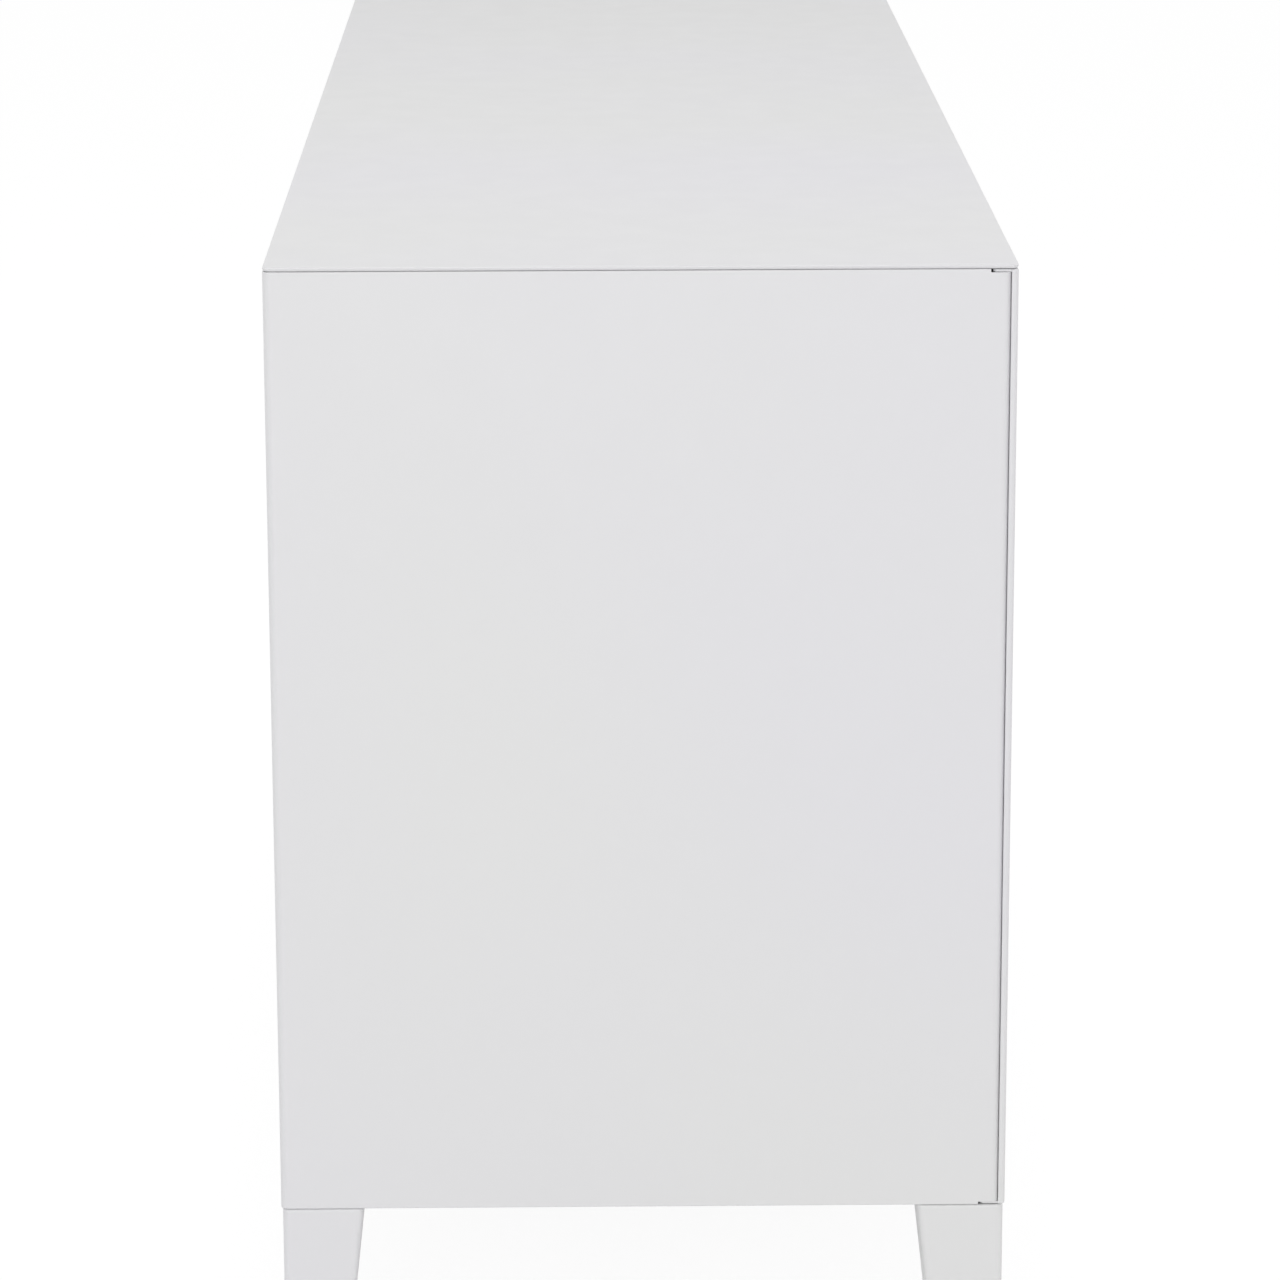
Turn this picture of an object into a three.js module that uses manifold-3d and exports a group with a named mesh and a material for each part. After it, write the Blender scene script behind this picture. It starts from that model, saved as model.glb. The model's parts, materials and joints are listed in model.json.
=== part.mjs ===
// TV stand with two doors: a folded sheet-steel cabinet on four tapered legs.
// Millimetres. X runs along the length, Y from the doors (-Y) to the back (+Y), Z is up from the floor.
// Most pieces are made in a half frame, with +X outward from the middle, and mirrored for the left half.
import * as THREE from "three";
import { mergeVertices } from "three/addons/utils/BufferGeometryUtils.js";
import Module from "manifold-3d";

const wasm = await Module();
wasm.setup();

// Overall sizes
const LENGTH = 1190; // over the side panels
const DEPTH = 400; // from the door faces to the back
const HEIGHT = 630; // floor to the top surface
const UNDERSIDE = 104; // floor to the underside of the body

// Sheet steel
const TOP_SHEET = 1.2;
const BODY_SHEET = 1.2;
const BACK_SHEET = 0.8;
const SHELF_SHEET = 1;
const SKIN_SHEET = 1;
const LINER_SHEET = 0.8;
const TAB_SHEET = 1.2;
const LEG_WALL = 1.5;
const EDGE_RADIUS = 3.5; // outer radius of the folded vertical corners

// Clearances
const FIT = 0.3; // between pieces fixed together, and round a pin in its bore
const DOOR_GAP = 0.4; // between a door and the body front behind it
const DOOR_END_GAP = 0.5; // from a door to the top above it and the legs below it
const MEETING_GAP = 3; // between the two doors
const NOTCH_GAP = 0.3; // round a hinge tab that turns in its notch
const PAST = 1; // how far a cutting tool runs past what it cuts

// Body
const TOP_HEM_WIDTH = 32; // doubled sheet round the rim of the top
const FRONT_RETURN = 16; // side panel folded across the front
const FRONT_LIP = 10; // and folded back again
const BACK_RETURN = 14;
const SIDE_FLANGE = 14; // side panel folded in under the top and under the bottom panel
const RAIL_HEIGHT = 15; // front and back rails, top and bottom
const FRONT_RAIL_DEPTH = 24;
const BACK_RAIL_DEPTH = 9;
const POST_WIDTH = 36;
const POST_DEPTH = 10.6;
const DIVIDER_FOOT = 20;
const DIVIDER_BACK_WIDTH = 30;
const CABLE_HOLE = 60;
const CABLE_DROP = 127.3; // middle of the hole below the top of the back panel
const GROMMET_WALL = 2;
const GROMMET_FLANGE = 5; // flange beyond the hole
const GROMMET_FLANGE_THICKNESS = 1.1;
const GROMMET_DEPTH = 8;
const OUTLET_CUTOUT = 100; // square cut-out in the back panel, closed by the outlet plate
const OUTLET_LAP = 8; // how far the plate laps the back panel round the cut-out
const OUTLET_SHEET = 1;

// Shelves
const SHELF_SETBACK = 28; // behind the door faces
const SHELF_BACK_GAP = 8;
const SHELF_SIDE_GAP = 1.5;
const SHELF_RIM = 18;
const SHELF_SLOT = 7; // the slot, counted from the lowest, that carries the shelves
const SLOT_RISE = 33.3; // lowest slot above the cabinet floor
const SLOT_PITCH = 32;
const SLOT_HEIGHT = 3;
const SLOT_WIDTH = 9;
const SLOT_MARGIN = 20;
const UPRIGHT_WIDTH = 20;
const UPRIGHT_DEPTH = 8;
const UPRIGHT_FROM_FRONT = 75;
const UPRIGHT_FROM_BACK = 65;
const CLIP_SHEET = 2;
const CLIP_REACH = 11;
const CLIP_DROP = 14;
const CLIP_HOOK = 4;
const SHELF_PIN_DIAMETER = 5;
const SHELF_PIN_REACH = 12;

// Doors and their pivots
const DOOR_THICKNESS = 3.4; // edge seen beside the side panel
const DOOR_EDGE_RADIUS = 1.2;
const DOOR_RIM = 6; // full thickness round the edge, hollow inside it
const DOOR_SWING = 100; // degrees
const LINER_DEPTH = 15; // back of the liner behind the door face
const LINER_HINGE_GAP = 22; // liner to the outer edge of the door
const LINER_MEETING_GAP = 4; // liner to the centre post
const LINER_END_GAP = 3; // liner to the rails
const PIVOT_IN = 4; // pivot axis in from the outer face of the side panel
const PIVOT_BACK = 10; // and behind the door face
const PIN_DIAMETER = 3;
const PIN_LENGTH = 12;
const TAB_INSET = 0.3; // hinge tab in from the outer face
const TAB_WIDTH = 15;
const BLOCK_HEIGHT = 16;
const BLOCK_DEPTH = 10.5;
const BLOCK_RADIUS = 3;

// Knobs and latch
const KNOB_X = 45;
const KNOB_RISE = 1.6; // above the middle of the doors
const KNOB_REACH = 18;
const KNOB_DIAMETER = 22;
const KNOB_HEAD = 9;
const KNOB_FACE_ROUNDING = 1.8;
const KNOB_BACK_CHAMFER = 0.7;
const NECK_DIAMETER = 10;
const NECK_FLARE = 1; // from the neck out to the back of the head
const ROSE_DIAMETER = 20;
const ROSE_THICKNESS = 1.5;
const SPINDLE_DIAMETER = 8;
const HOUSING_DIAMETER = 16;
const NUT_THICKNESS = 4;
const NUT_ACROSS_CORNERS = 16;
const CAM_SHEET = 1.8;
const CAM_WIDTH = 14;
const CAM_OVERLAP = 10; // how far the cam reaches behind the post
const SCREW_HEAD_DIAMETER = 12;
const SCREW_HEAD_THICKNESS = 2.5;
const HEAD_CHAMFER = 1; // on the heads of screws and bolts
const SCREW_SHANK_DIAMETER = 3.5;
const SCREW_SHANK_LENGTH = 8;

// Magnetic catches
const CATCH_DROP = 52.3; // middle of the catch below the top rail
const CATCH_WIDTH = 38;
const CATCH_DEPTH = 24;
const CATCH_HEIGHT = 14;
const CATCH_GAP = 0.6; // closed door to magnet
const STRIKE_SHEET = 1;
const STRIKE_WIDTH = 16;
const STRIKE_HEIGHT = 20;

// Legs and feet
const LEG_WIDTH = 45;
const LEG_TAPER = 0.11; // narrowing per millimetre down
const LEG_SETBACK = 0.9; // legs in from the door faces and from the back
const LEG_PLATE = 3; // plates that close the leg at the top and the foot
const BOLT_DIAMETER = 8;
const BOLT_HEAD_DIAMETER = 13;
const BOLT_HEAD_THICKNESS = 4;
const BOLT_LENGTH = 16;
const FOOT_DIAMETER = 28;
const FOOT_THICKNESS = 6;
const FOOT_STEM = 26;
const FOOT_CHAMFER = 2;
const SOLE_CHAMFER = 1;

// Levels and planes worked out from the sizes above
const HALF = LENGTH / 2;
const FRONT = -DEPTH / 2;
const BACK = DEPTH / 2;
const TOP_HEM = 2 * TOP_SHEET;
const BODY_FRONT = FRONT + DOOR_THICKNESS + DOOR_GAP;
const TOP_UNDERSIDE = HEIGHT - TOP_HEM;
const WALL_TOP = TOP_UNDERSIDE - FIT;
const FLOOR_BOTTOM = UNDERSIDE + BODY_SHEET + FIT; // the bottom panel lies on the flanges of the side panels
const FLOOR_TOP = FLOOR_BOTTOM + BODY_SHEET;
const OPENING_TOP = WALL_TOP - RAIL_HEIGHT;
const OPENING_BOTTOM = FLOOR_TOP + RAIL_HEIGHT;
const DOOR_TOP = TOP_UNDERSIDE - DOOR_END_GAP;
const LEG_TOP = UNDERSIDE - FIT;
const DOOR_BOTTOM = LEG_TOP + DOOR_END_GAP;
const BACK_RETURN_FACE = BACK - BODY_SHEET;
const BACK_PANEL_OUTSIDE = BACK_RETURN_FACE - FIT;
const BACK_PANEL_INSIDE = BACK_PANEL_OUTSIDE - BACK_SHEET;
const OUTLET_OUTSIDE = BACK_PANEL_INSIDE - FIT;
const BACK_RAIL_OUTSIDE = BACK_PANEL_INSIDE - FIT;
const BACK_RAIL_INSIDE = BACK_RAIL_OUTSIDE - BODY_SHEET;
const WALL_INSIDE = HALF - BODY_SHEET;
const UPRIGHT_FACE = WALL_INSIDE - FIT - UPRIGHT_DEPTH;
const UPRIGHT_YS = [FRONT + UPRIGHT_FROM_FRONT, BACK - UPRIGHT_FROM_BACK];
const UPRIGHT_BOTTOM = FLOOR_TOP + FIT;
const UPRIGHT_TOP = WALL_TOP - BODY_SHEET - FIT;
const SLOT_FIRST = FLOOR_TOP + SLOT_RISE;
const SLOT_COUNT = Math.floor((UPRIGHT_TOP - SLOT_MARGIN - SLOT_FIRST) / SLOT_PITCH) + 1;
const slotLevel = (index) => SLOT_FIRST + index * SLOT_PITCH;
const CLIP_TOP = slotLevel(SHELF_SLOT) + FIT + CLIP_SHEET;
const SHELF_SEAT = CLIP_TOP + FIT;
const CABLE_X = HALF / 2;
const CABLE_Z = WALL_TOP - CABLE_DROP;
const CATCH_Z = OPENING_TOP - CATCH_DROP;
const KNOB_Z = (DOOR_TOP + DOOR_BOTTOM) / 2 + KNOB_RISE;
const PIVOT_X = HALF - PIVOT_IN;
const PIVOT_Y = FRONT + PIVOT_BACK;
const LINER_BACK = FRONT + LINER_DEPTH;
const BLOCK_FRONT = BODY_FRONT + BODY_SHEET + FIT;
const BLOCK_BACK = BLOCK_FRONT + BLOCK_DEPTH;
const LEG_BOTTOM = FOOT_THICKNESS + FIT;
const FRONT_LEG_DEPTH = LEG_WIDTH + DOOR_THICKNESS + DOOR_GAP - LEG_SETBACK;

const CABLE_SIDES = 32; // facets round the cable hole and its grommet

// Finishes
const finish = (color, roughness, metalness) =>
  new THREE.MeshStandardMaterial({ color, roughness, metalness });
const paint = () => finish(0xe8e8ea, 0.45, 0);
const zinc = () => finish(0xb9bcc0, 0.35, 0.9);
const whitePlastic = () => finish(0xe4e4e4, 0.55, 0);
const blackPlastic = () => finish(0x26272a, 0.6, 0);

// Solids
function box(x0, x1, y0, y1, z0, z1) {
  const geometry = new THREE.BoxGeometry(x1 - x0, y1 - y0, z1 - z0);
  return geometry.translate((x0 + x1) / 2, (y0 + y1) / 2, (z0 + z1) / 2);
}

function prism(outline, z0, z1) {
  const settings = { depth: z1 - z0, bevelEnabled: false, curveSegments: 5 };
  return new THREE.ExtrudeGeometry(outline, settings).translate(0, 0, z0);
}

// Round bar between two levels, on an axis parallel to Z.
function uprightRod(diameter, x, y, z0, z1, sides = 16) {
  const geometry = new THREE.CylinderGeometry(diameter / 2, diameter / 2, z1 - z0, sides);
  return geometry.rotateX(Math.PI / 2).translate(x, y, (z0 + z1) / 2);
}

// Round bar from front to back, on an axis parallel to Y.
function levelRod(diameter, x, z, y0, y1, sides = 20) {
  const geometry = new THREE.CylinderGeometry(diameter / 2, diameter / 2, y1 - y0, sides);
  return geometry.translate(x, (y0 + y1) / 2, z);
}

// Turned piece on the Y axis; the profile is a list of [radius, y] with y falling.
function turned(profile, sides = 20) {
  const points = profile.map(([radius, y]) => new THREE.Vector2(radius, y));
  return new THREE.LatheGeometry(points.reverse(), sides);
}

function solid(geometry) {
  const bare = geometry.clone();
  bare.deleteAttribute("normal");
  bare.deleteAttribute("uv");
  const merged = mergeVertices(bare, 1e-4);
  const mesh = new wasm.Mesh({
    numProp: 3,
    vertProperties: Float32Array.from(merged.attributes.position.array),
    triVerts: Uint32Array.from(merged.index.array),
  });
  return new wasm.Manifold(mesh);
}

function surface(manifold) {
  const mesh = manifold.getMesh();
  const geometry = new THREE.BufferGeometry();
  geometry.setAttribute("position", new THREE.BufferAttribute(mesh.vertProperties, 3));
  geometry.setIndex(new THREE.BufferAttribute(mesh.triVerts, 1));
  geometry.computeVertexNormals();
  return geometry;
}

const join = (...pieces) => surface(pieces.map(solid).reduce((all, one) => all.add(one)));
const cut = (base, ...tools) =>
  surface(tools.map(solid).reduce((all, one) => all.subtract(one), solid(base)));

// Outlines
const point = (x, y) => new THREE.Vector2(x, y);

// Replaces each corner [x, y, radius] of an open path by an arc that touches both of its sides.
function roundedPath(corners, steps = 5) {
  const path = [];
  corners.forEach(([x, y, radius = 0], index) => {
    const corner = point(x, y);
    if (!radius) {
      path.push(corner);
      return;
    }
    const before = point(...corners[index - 1]).sub(corner).normalize();
    const after = point(...corners[index + 1]).sub(corner).normalize();
    const half = Math.acos(before.dot(after)) / 2;
    const centre = before.clone().add(after).normalize().multiplyScalar(radius / Math.sin(half)).add(corner);
    const start = before.multiplyScalar(radius / Math.tan(half)).add(corner).sub(centre);
    const end = after.multiplyScalar(radius / Math.tan(half)).add(corner).sub(centre);
    const turn = Math.atan2(start.x * end.y - start.y * end.x, start.dot(end));
    for (let step = 0; step <= steps; step += 1) {
      path.push(start.clone().rotateAround(point(0, 0), (turn * step) / steps).add(centre));
    }
  });
  return path;
}

// Outline of a folded sheet: a path walked along its outer face, thickened to the right of the walk.
function foldedSheet(corners, thickness) {
  const outer = roundedPath(corners);
  const rightOf = (a, b) => point(b.y - a.y, a.x - b.x).normalize();
  const inner = outer.map((here, index) => {
    const before = index > 0 ? rightOf(outer[index - 1], here) : null;
    const after = index < outer.length - 1 ? rightOf(here, outer[index + 1]) : null;
    const one = before ?? after;
    const other = after ?? before;
    const mitre = one.clone().add(other).normalize();
    return mitre.multiplyScalar(thickness / mitre.dot(one)).add(here);
  });
  return new THREE.Shape([...outer, ...inner.reverse()]);
}

function roundedRectangle(x0, x1, y0, y1, radius) {
  const outline = new THREE.Shape();
  outline.moveTo(x0 + radius, y0);
  outline.lineTo(x1 - radius, y0);
  outline.absarc(x1 - radius, y0 + radius, radius, -Math.PI / 2, 0);
  outline.lineTo(x1, y1 - radius);
  outline.absarc(x1 - radius, y1 - radius, radius, 0, Math.PI / 2);
  outline.lineTo(x0 + radius, y1);
  outline.absarc(x0 + radius, y1 - radius, radius, Math.PI / 2, Math.PI);
  outline.lineTo(x0, y0 + radius);
  outline.absarc(x0 + radius, y0 + radius, radius, Math.PI, 1.5 * Math.PI);
  return outline;
}

function piece(name, geometry, material, at = [0, 0, 0]) {
  const mesh = new THREE.Mesh(geometry, material);
  mesh.name = name;
  mesh.position.set(...at);
  return mesh;
}

// Top: a sheet with a doubled hem round its rim.
function topPanel() {
  const plate = prism(roundedRectangle(-HALF, HALF, FRONT, BACK, EDGE_RADIUS), TOP_UNDERSIDE, HEIGHT);
  const inX = HALF - TOP_HEM_WIDTH;
  const inY = BACK - TOP_HEM_WIDTH;
  const thin = HEIGHT - TOP_SHEET;
  return cut(plate, box(-inX, inX, -inY, inY, TOP_UNDERSIDE - PAST, thin));
}

// Angle rail under the top: one leg upright behind the doors, or before the back panel, the other level.
function topFrontRail() {
  const end = HALF - FRONT_RETURN - FIT;
  return join(
    box(-end, end, BODY_FRONT, BODY_FRONT + BODY_SHEET, OPENING_TOP, WALL_TOP),
    box(-end, end, BODY_FRONT, BODY_FRONT + FRONT_RAIL_DEPTH, WALL_TOP - BODY_SHEET, WALL_TOP),
  );
}

function topBackRail() {
  const end = HALF - Math.max(SIDE_FLANGE, BACK_RETURN) - FIT;
  return join(
    box(-end, end, BACK_RAIL_INSIDE, BACK_RAIL_OUTSIDE, OPENING_TOP, WALL_TOP),
    box(-end, end, BACK_RAIL_OUTSIDE - BACK_RAIL_DEPTH, BACK_RAIL_OUTSIDE, WALL_TOP - BODY_SHEET, WALL_TOP),
  );
}

// Where the leg bolts and the feet stand, in the half frame.
function legPlace(isFront) {
  const depth = isFront ? FRONT_LEG_DEPTH : LEG_WIDTH;
  const narrowing = LEG_TAPER * (LEG_TOP - LEG_BOTTOM);
  const outerY = isFront ? FRONT + LEG_SETBACK : BACK - LEG_SETBACK;
  const inward = isFront ? 1 : -1;
  return {
    depth,
    outerY,
    inward,
    bolt: [HALF - LEG_WIDTH / 2, outerY + (inward * depth) / 2],
    foot: [HALF - (LEG_WIDTH - narrowing) / 2, outerY + (inward * (depth - narrowing)) / 2],
  };
}

// Bottom panel: folded up at the front and back, its front corners cut away round the hinge blocks.
function bottomPanel() {
  const frontEnd = HALF - FRONT_RETURN - FIT;
  const backEnd = HALF - Math.max(SIDE_FLANGE, BACK_RETURN) - FIT;
  const end = WALL_INSIDE - FIT;
  const wideFront = BLOCK_BACK + FIT;
  const sheet = join(
    box(-end, end, wideFront, BACK_RAIL_OUTSIDE, FLOOR_BOTTOM, FLOOR_TOP),
    box(-frontEnd, frontEnd, BODY_FRONT, BACK_RAIL_OUTSIDE, FLOOR_BOTTOM, FLOOR_TOP),
    box(-frontEnd, frontEnd, BODY_FRONT, BODY_FRONT + BODY_SHEET, FLOOR_BOTTOM, OPENING_BOTTOM),
    box(-backEnd, backEnd, BACK_RAIL_INSIDE, BACK_RAIL_OUTSIDE, FLOOR_BOTTOM, OPENING_BOTTOM),
  );
  const holes = [];
  for (const isFront of [true, false]) {
    const [x, y] = legPlace(isFront).bolt;
    for (const side of [-1, 1]) {
      holes.push(uprightRod(BOLT_DIAMETER + 2 * FIT, side * x, y, FLOOR_BOTTOM - PAST, FLOOR_TOP + PAST));
    }
  }
  return cut(sheet, ...holes);
}

// How far behind the pivot the outer edge of the hinge tab comes where it swings out through the wall.
function tabSweep() {
  const across = PIVOT_IN - TAB_INSET;
  const swing = THREE.MathUtils.degToRad(DOOR_SWING);
  const along = (PIVOT_IN - across * Math.cos(swing)) / Math.sin(swing);
  return Math.max(across, across * Math.sin(swing) - along * Math.cos(swing));
}

// Side panel: folded across the front and back, and in at the top and bottom, notched for the hinge tabs.
function sidePanel() {
  const wall = foldedSheet(
    [
      [HALF - BACK_RETURN, BACK],
      [HALF, BACK, EDGE_RADIUS],
      [HALF, BODY_FRONT, EDGE_RADIUS],
      [HALF - FRONT_RETURN, BODY_FRONT],
      [HALF - FRONT_RETURN, BODY_FRONT + FRONT_LIP],
    ],
    BODY_SHEET,
  );
  const inner = HALF - SIDE_FLANGE;
  const outer = HALF - BODY_SHEET / 2;
  const y0 = BODY_FRONT + EDGE_RADIUS;
  const y1 = BACK - EDGE_RADIUS;
  const shell = join(
    prism(wall, UNDERSIDE, WALL_TOP),
    box(inner, outer, y0, y1, WALL_TOP - BODY_SHEET, WALL_TOP),
    box(inner, outer, y0, y1, UNDERSIDE, UNDERSIDE + BODY_SHEET),
  );
  const notch = (z0, z1) =>
    box(HALF - FRONT_RETURN - PAST, HALF + PAST, BODY_FRONT - PAST, PIVOT_Y + tabSweep() + NOTCH_GAP, z0, z1);
  return cut(
    shell,
    notch(DOOR_TOP - TAB_SHEET - NOTCH_GAP, WALL_TOP + PAST),
    notch(UNDERSIDE - PAST, DOOR_BOTTOM + TAB_SHEET + NOTCH_GAP),
  );
}

// Square prism about the cable outlet, its sides a given distance from the middle of the hole.
function aroundOutlet(reach, y0, y1) {
  return box(CABLE_X - reach, CABLE_X + reach, y0, y1, CABLE_Z - reach, CABLE_Z + reach);
}

function backPanel() {
  const side = HALF - EDGE_RADIUS - FIT;
  return cut(
    box(FIT, side, BACK_PANEL_INSIDE, BACK_PANEL_OUTSIDE, FLOOR_BOTTOM, WALL_TOP),
    aroundOutlet(OUTLET_CUTOUT / 2, BACK_PANEL_INSIDE - PAST, BACK_PANEL_OUTSIDE + PAST),
  );
}

// Outlet plate: lies on the inside of the back panel, over its cut-out, and carries the grommet.
function outletPlate() {
  const inside = OUTLET_OUTSIDE - OUTLET_SHEET;
  return cut(
    aroundOutlet(OUTLET_CUTOUT / 2 + OUTLET_LAP, inside, OUTLET_OUTSIDE),
    levelRod(CABLE_HOLE, CABLE_X, CABLE_Z, inside - PAST, OUTLET_OUTSIDE + PAST, CABLE_SIDES),
  );
}

// Grommet: a flange on the outside of the plate, and a sleeve through its hole.
function cableGrommet() {
  const hole = CABLE_HOLE / 2 - FIT;
  const bore = hole - GROMMET_WALL;
  const flange = CABLE_HOLE / 2 + GROMMET_FLANGE;
  const outside = OUTLET_OUTSIDE + FIT;
  const inside = OUTLET_OUTSIDE - OUTLET_SHEET - GROMMET_DEPTH;
  const end = outside + GROMMET_FLANGE_THICKNESS;
  const profile = [
    [bore, end],
    [flange - GROMMET_WALL / 2, end],
    [flange, outside],
    [hole, outside],
    [hole, inside],
    [bore, inside],
    [bore, end],
  ];
  return turned(profile, CABLE_SIDES);
}

// Centre post: a channel open to the back, between the top rail and the bottom rail.
function centrePost() {
  const half = POST_WIDTH / 2;
  const back = BODY_FRONT + POST_DEPTH;
  const channel = foldedSheet(
    [
      [half, back],
      [half, BODY_FRONT],
      [-half, BODY_FRONT],
      [-half, back],
    ],
    BODY_SHEET,
  );
  return prism(channel, OPENING_BOTTOM + FIT, OPENING_TOP - FIT);
}

// Divider: an upright sheet with a foot, a head and a back flange, and a column of holes for shelf pins.
function centreDivider() {
  const web = BODY_SHEET / 2;
  const y0 = BODY_FRONT + BODY_SHEET + FIT;
  const y1 = BACK_RAIL_INSIDE - FIT;
  const z0 = FLOOR_TOP + FIT;
  const z1 = WALL_TOP - BODY_SHEET - FIT;
  const low = OPENING_BOTTOM + FIT;
  const high = OPENING_TOP - FIT;
  const wide = DIVIDER_BACK_WIDTH / 2;
  const footFront = BODY_FRONT + POST_DEPTH + FIT;
  const sheet = join(
    box(-web, web, y0, y1, z0, z1),
    box(-web, web, y1 - BODY_SHEET, BACK_RAIL_OUTSIDE, low, high),
    box(-wide, wide, BACK_RAIL_INSIDE, BACK_RAIL_OUTSIDE, low, high),
    box(-web, DIVIDER_FOOT, footFront, y1, z0, z0 + BODY_SHEET),
    box(-web, DIVIDER_FOOT, footFront, y1, z1 - BODY_SHEET, z1),
  );
  const holes = [];
  for (const y of UPRIGHT_YS) {
    for (let index = 0; index < SLOT_COUNT; index += 1) {
      holes.push(shelfPinRod(SHELF_PIN_DIAMETER + 2 * FIT, y, index, web + PAST, 8));
    }
  }
  return cut(sheet, ...holes);
}

// Bar across the divider whose top is level with the clips in the uprights.
function shelfPinRod(diameter, y, slot, reach, sides) {
  const z = slotLevel(slot) + FIT + CLIP_SHEET - SHELF_PIN_DIAMETER / 2;
  const rod = new THREE.CylinderGeometry(diameter / 2, diameter / 2, 2 * reach, sides);
  return rod.rotateZ(Math.PI / 2).translate(0, y, z);
}

function upright(y) {
  const half = UPRIGHT_WIDTH / 2;
  const wallSide = WALL_INSIDE - FIT;
  const channel = foldedSheet(
    [
      [wallSide, y - half],
      [UPRIGHT_FACE, y - half],
      [UPRIGHT_FACE, y + half],
      [wallSide, y + half],
    ],
    BODY_SHEET,
  );
  const slots = [];
  for (let index = 0; index < SLOT_COUNT; index += 1) {
    const z = slotLevel(index);
    slots.push(
      box(
        UPRIGHT_FACE - PAST,
        UPRIGHT_FACE + BODY_SHEET + PAST,
        y - SLOT_WIDTH / 2,
        y + SLOT_WIDTH / 2,
        z,
        z + SLOT_HEIGHT,
      ),
    );
  }
  return cut(prism(channel, UPRIGHT_BOTTOM, UPRIGHT_TOP), ...slots);
}

// Clip: a ledge that hooks through the slot and drops behind it, with a leg down the face.
function shelfClip(y) {
  const half = SLOT_WIDTH / 2 - FIT;
  const low = CLIP_TOP - CLIP_SHEET;
  const face = UPRIGHT_FACE - FIT;
  const hook = UPRIGHT_FACE + BODY_SHEET + FIT;
  return join(
    box(face - CLIP_REACH, hook + CLIP_SHEET, y - half, y + half, low, CLIP_TOP),
    box(face - CLIP_SHEET, face, y - half, y + half, low - CLIP_DROP, CLIP_TOP),
    box(hook, hook + CLIP_SHEET, y - half, y + half, low - CLIP_HOOK, CLIP_TOP),
  );
}

function shelf() {
  const x0 = BODY_SHEET / 2 + SHELF_SIDE_GAP;
  const x1 = UPRIGHT_FACE - SHELF_SIDE_GAP;
  const y0 = FRONT + SHELF_SETBACK;
  const y1 = BACK_RAIL_INSIDE - SHELF_BACK_GAP;
  const z1 = SHELF_SEAT + SHELF_RIM;
  const t = SHELF_SHEET;
  return cut(
    box(x0, x1, y0, y1, SHELF_SEAT, z1),
    box(x0 + t, x1 - t, y0 + t, y1 - t, SHELF_SEAT - PAST, z1 - t),
  );
}

// Door skin: a shallow tray, open behind, with a tab at each end of the hinge edge for the pivot pins.
function doorSkin(boreDiameter) {
  const x0 = MEETING_GAP / 2;
  const back = FRONT + DOOR_THICKNESS;
  const r = DOOR_EDGE_RADIUS;
  const outline = new THREE.Shape();
  outline.moveTo(x0, back);
  outline.lineTo(x0, FRONT + r);
  outline.absarc(x0 + r, FRONT + r, r, Math.PI, 1.5 * Math.PI);
  outline.lineTo(HALF - r, FRONT);
  outline.absarc(HALF - r, FRONT + r, r, -Math.PI / 2, 0);
  outline.lineTo(HALF, back);
  const hollow = box(
    x0 + DOOR_RIM,
    HALF - DOOR_RIM,
    FRONT + SKIN_SHEET,
    back + PAST,
    DOOR_BOTTOM + DOOR_RIM,
    DOOR_TOP - DOOR_RIM,
  );
  const tray = cut(prism(outline, DOOR_BOTTOM, DOOR_TOP), hollow);
  const pinHole = PIN_DIAMETER + 2 * FIT;
  return cut(
    join(tray, hingeTabs()),
    uprightRod(pinHole, PIVOT_X, PIVOT_Y, DOOR_BOTTOM - PAST, DOOR_BOTTOM + TAB_SHEET + PAST),
    uprightRod(pinHole, PIVOT_X, PIVOT_Y, DOOR_TOP - TAB_SHEET - PAST, DOOR_TOP + PAST),
    levelRod(boreDiameter, KNOB_X, KNOB_Z, FRONT - PAST, back + PAST),
  );
}

// Hinge tabs at the two ends of the door: each runs from the back of the skin to a round end about the pivot.
function hingeTabs() {
  const r = PIVOT_IN - TAB_INSET;
  const root = FRONT + SKIN_SHEET;
  const rimBack = FRONT + DOOR_THICKNESS + FIT;
  const outline = new THREE.Shape();
  outline.moveTo(HALF - TAB_WIDTH, root);
  outline.lineTo(PIVOT_X + r, root);
  outline.lineTo(PIVOT_X + r, PIVOT_Y);
  outline.absarc(PIVOT_X, PIVOT_Y, r, 0, Math.PI);
  outline.lineTo(HALF - TAB_WIDTH, rimBack);
  const between = box(
    HALF - TAB_WIDTH - PAST,
    HALF,
    root - PAST,
    PIVOT_Y + r + PAST,
    DOOR_BOTTOM + TAB_SHEET,
    DOOR_TOP - TAB_SHEET,
  );
  return cut(prism(outline, DOOR_BOTTOM, DOOR_TOP), between);
}

// Liner: the pan that stiffens the door from behind.
function doorLiner(boreDiameter) {
  const x0 = POST_WIDTH / 2 + LINER_MEETING_GAP;
  const x1 = HALF - LINER_HINGE_GAP;
  const z0 = OPENING_BOTTOM + LINER_END_GAP;
  const z1 = OPENING_TOP - LINER_END_GAP;
  const y0 = FRONT + SKIN_SHEET + FIT;
  const t = LINER_SHEET;
  return cut(
    box(x0, x1, y0, LINER_BACK, z0, z1),
    box(x0 + t, x1 - t, y0 - PAST, LINER_BACK - t, z0 + t, z1 - t),
    levelRod(boreDiameter, KNOB_X, KNOB_Z, LINER_BACK - t - PAST, LINER_BACK + PAST),
  );
}

// The upper pin points down from its tab and the lower one up, each into its bearing block.
function pivotPin(isUpper) {
  const z0 = isUpper ? DOOR_TOP - PIN_LENGTH : DOOR_BOTTOM;
  return uprightRod(PIN_DIAMETER, 0, 0, z0, z0 + PIN_LENGTH);
}

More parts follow.
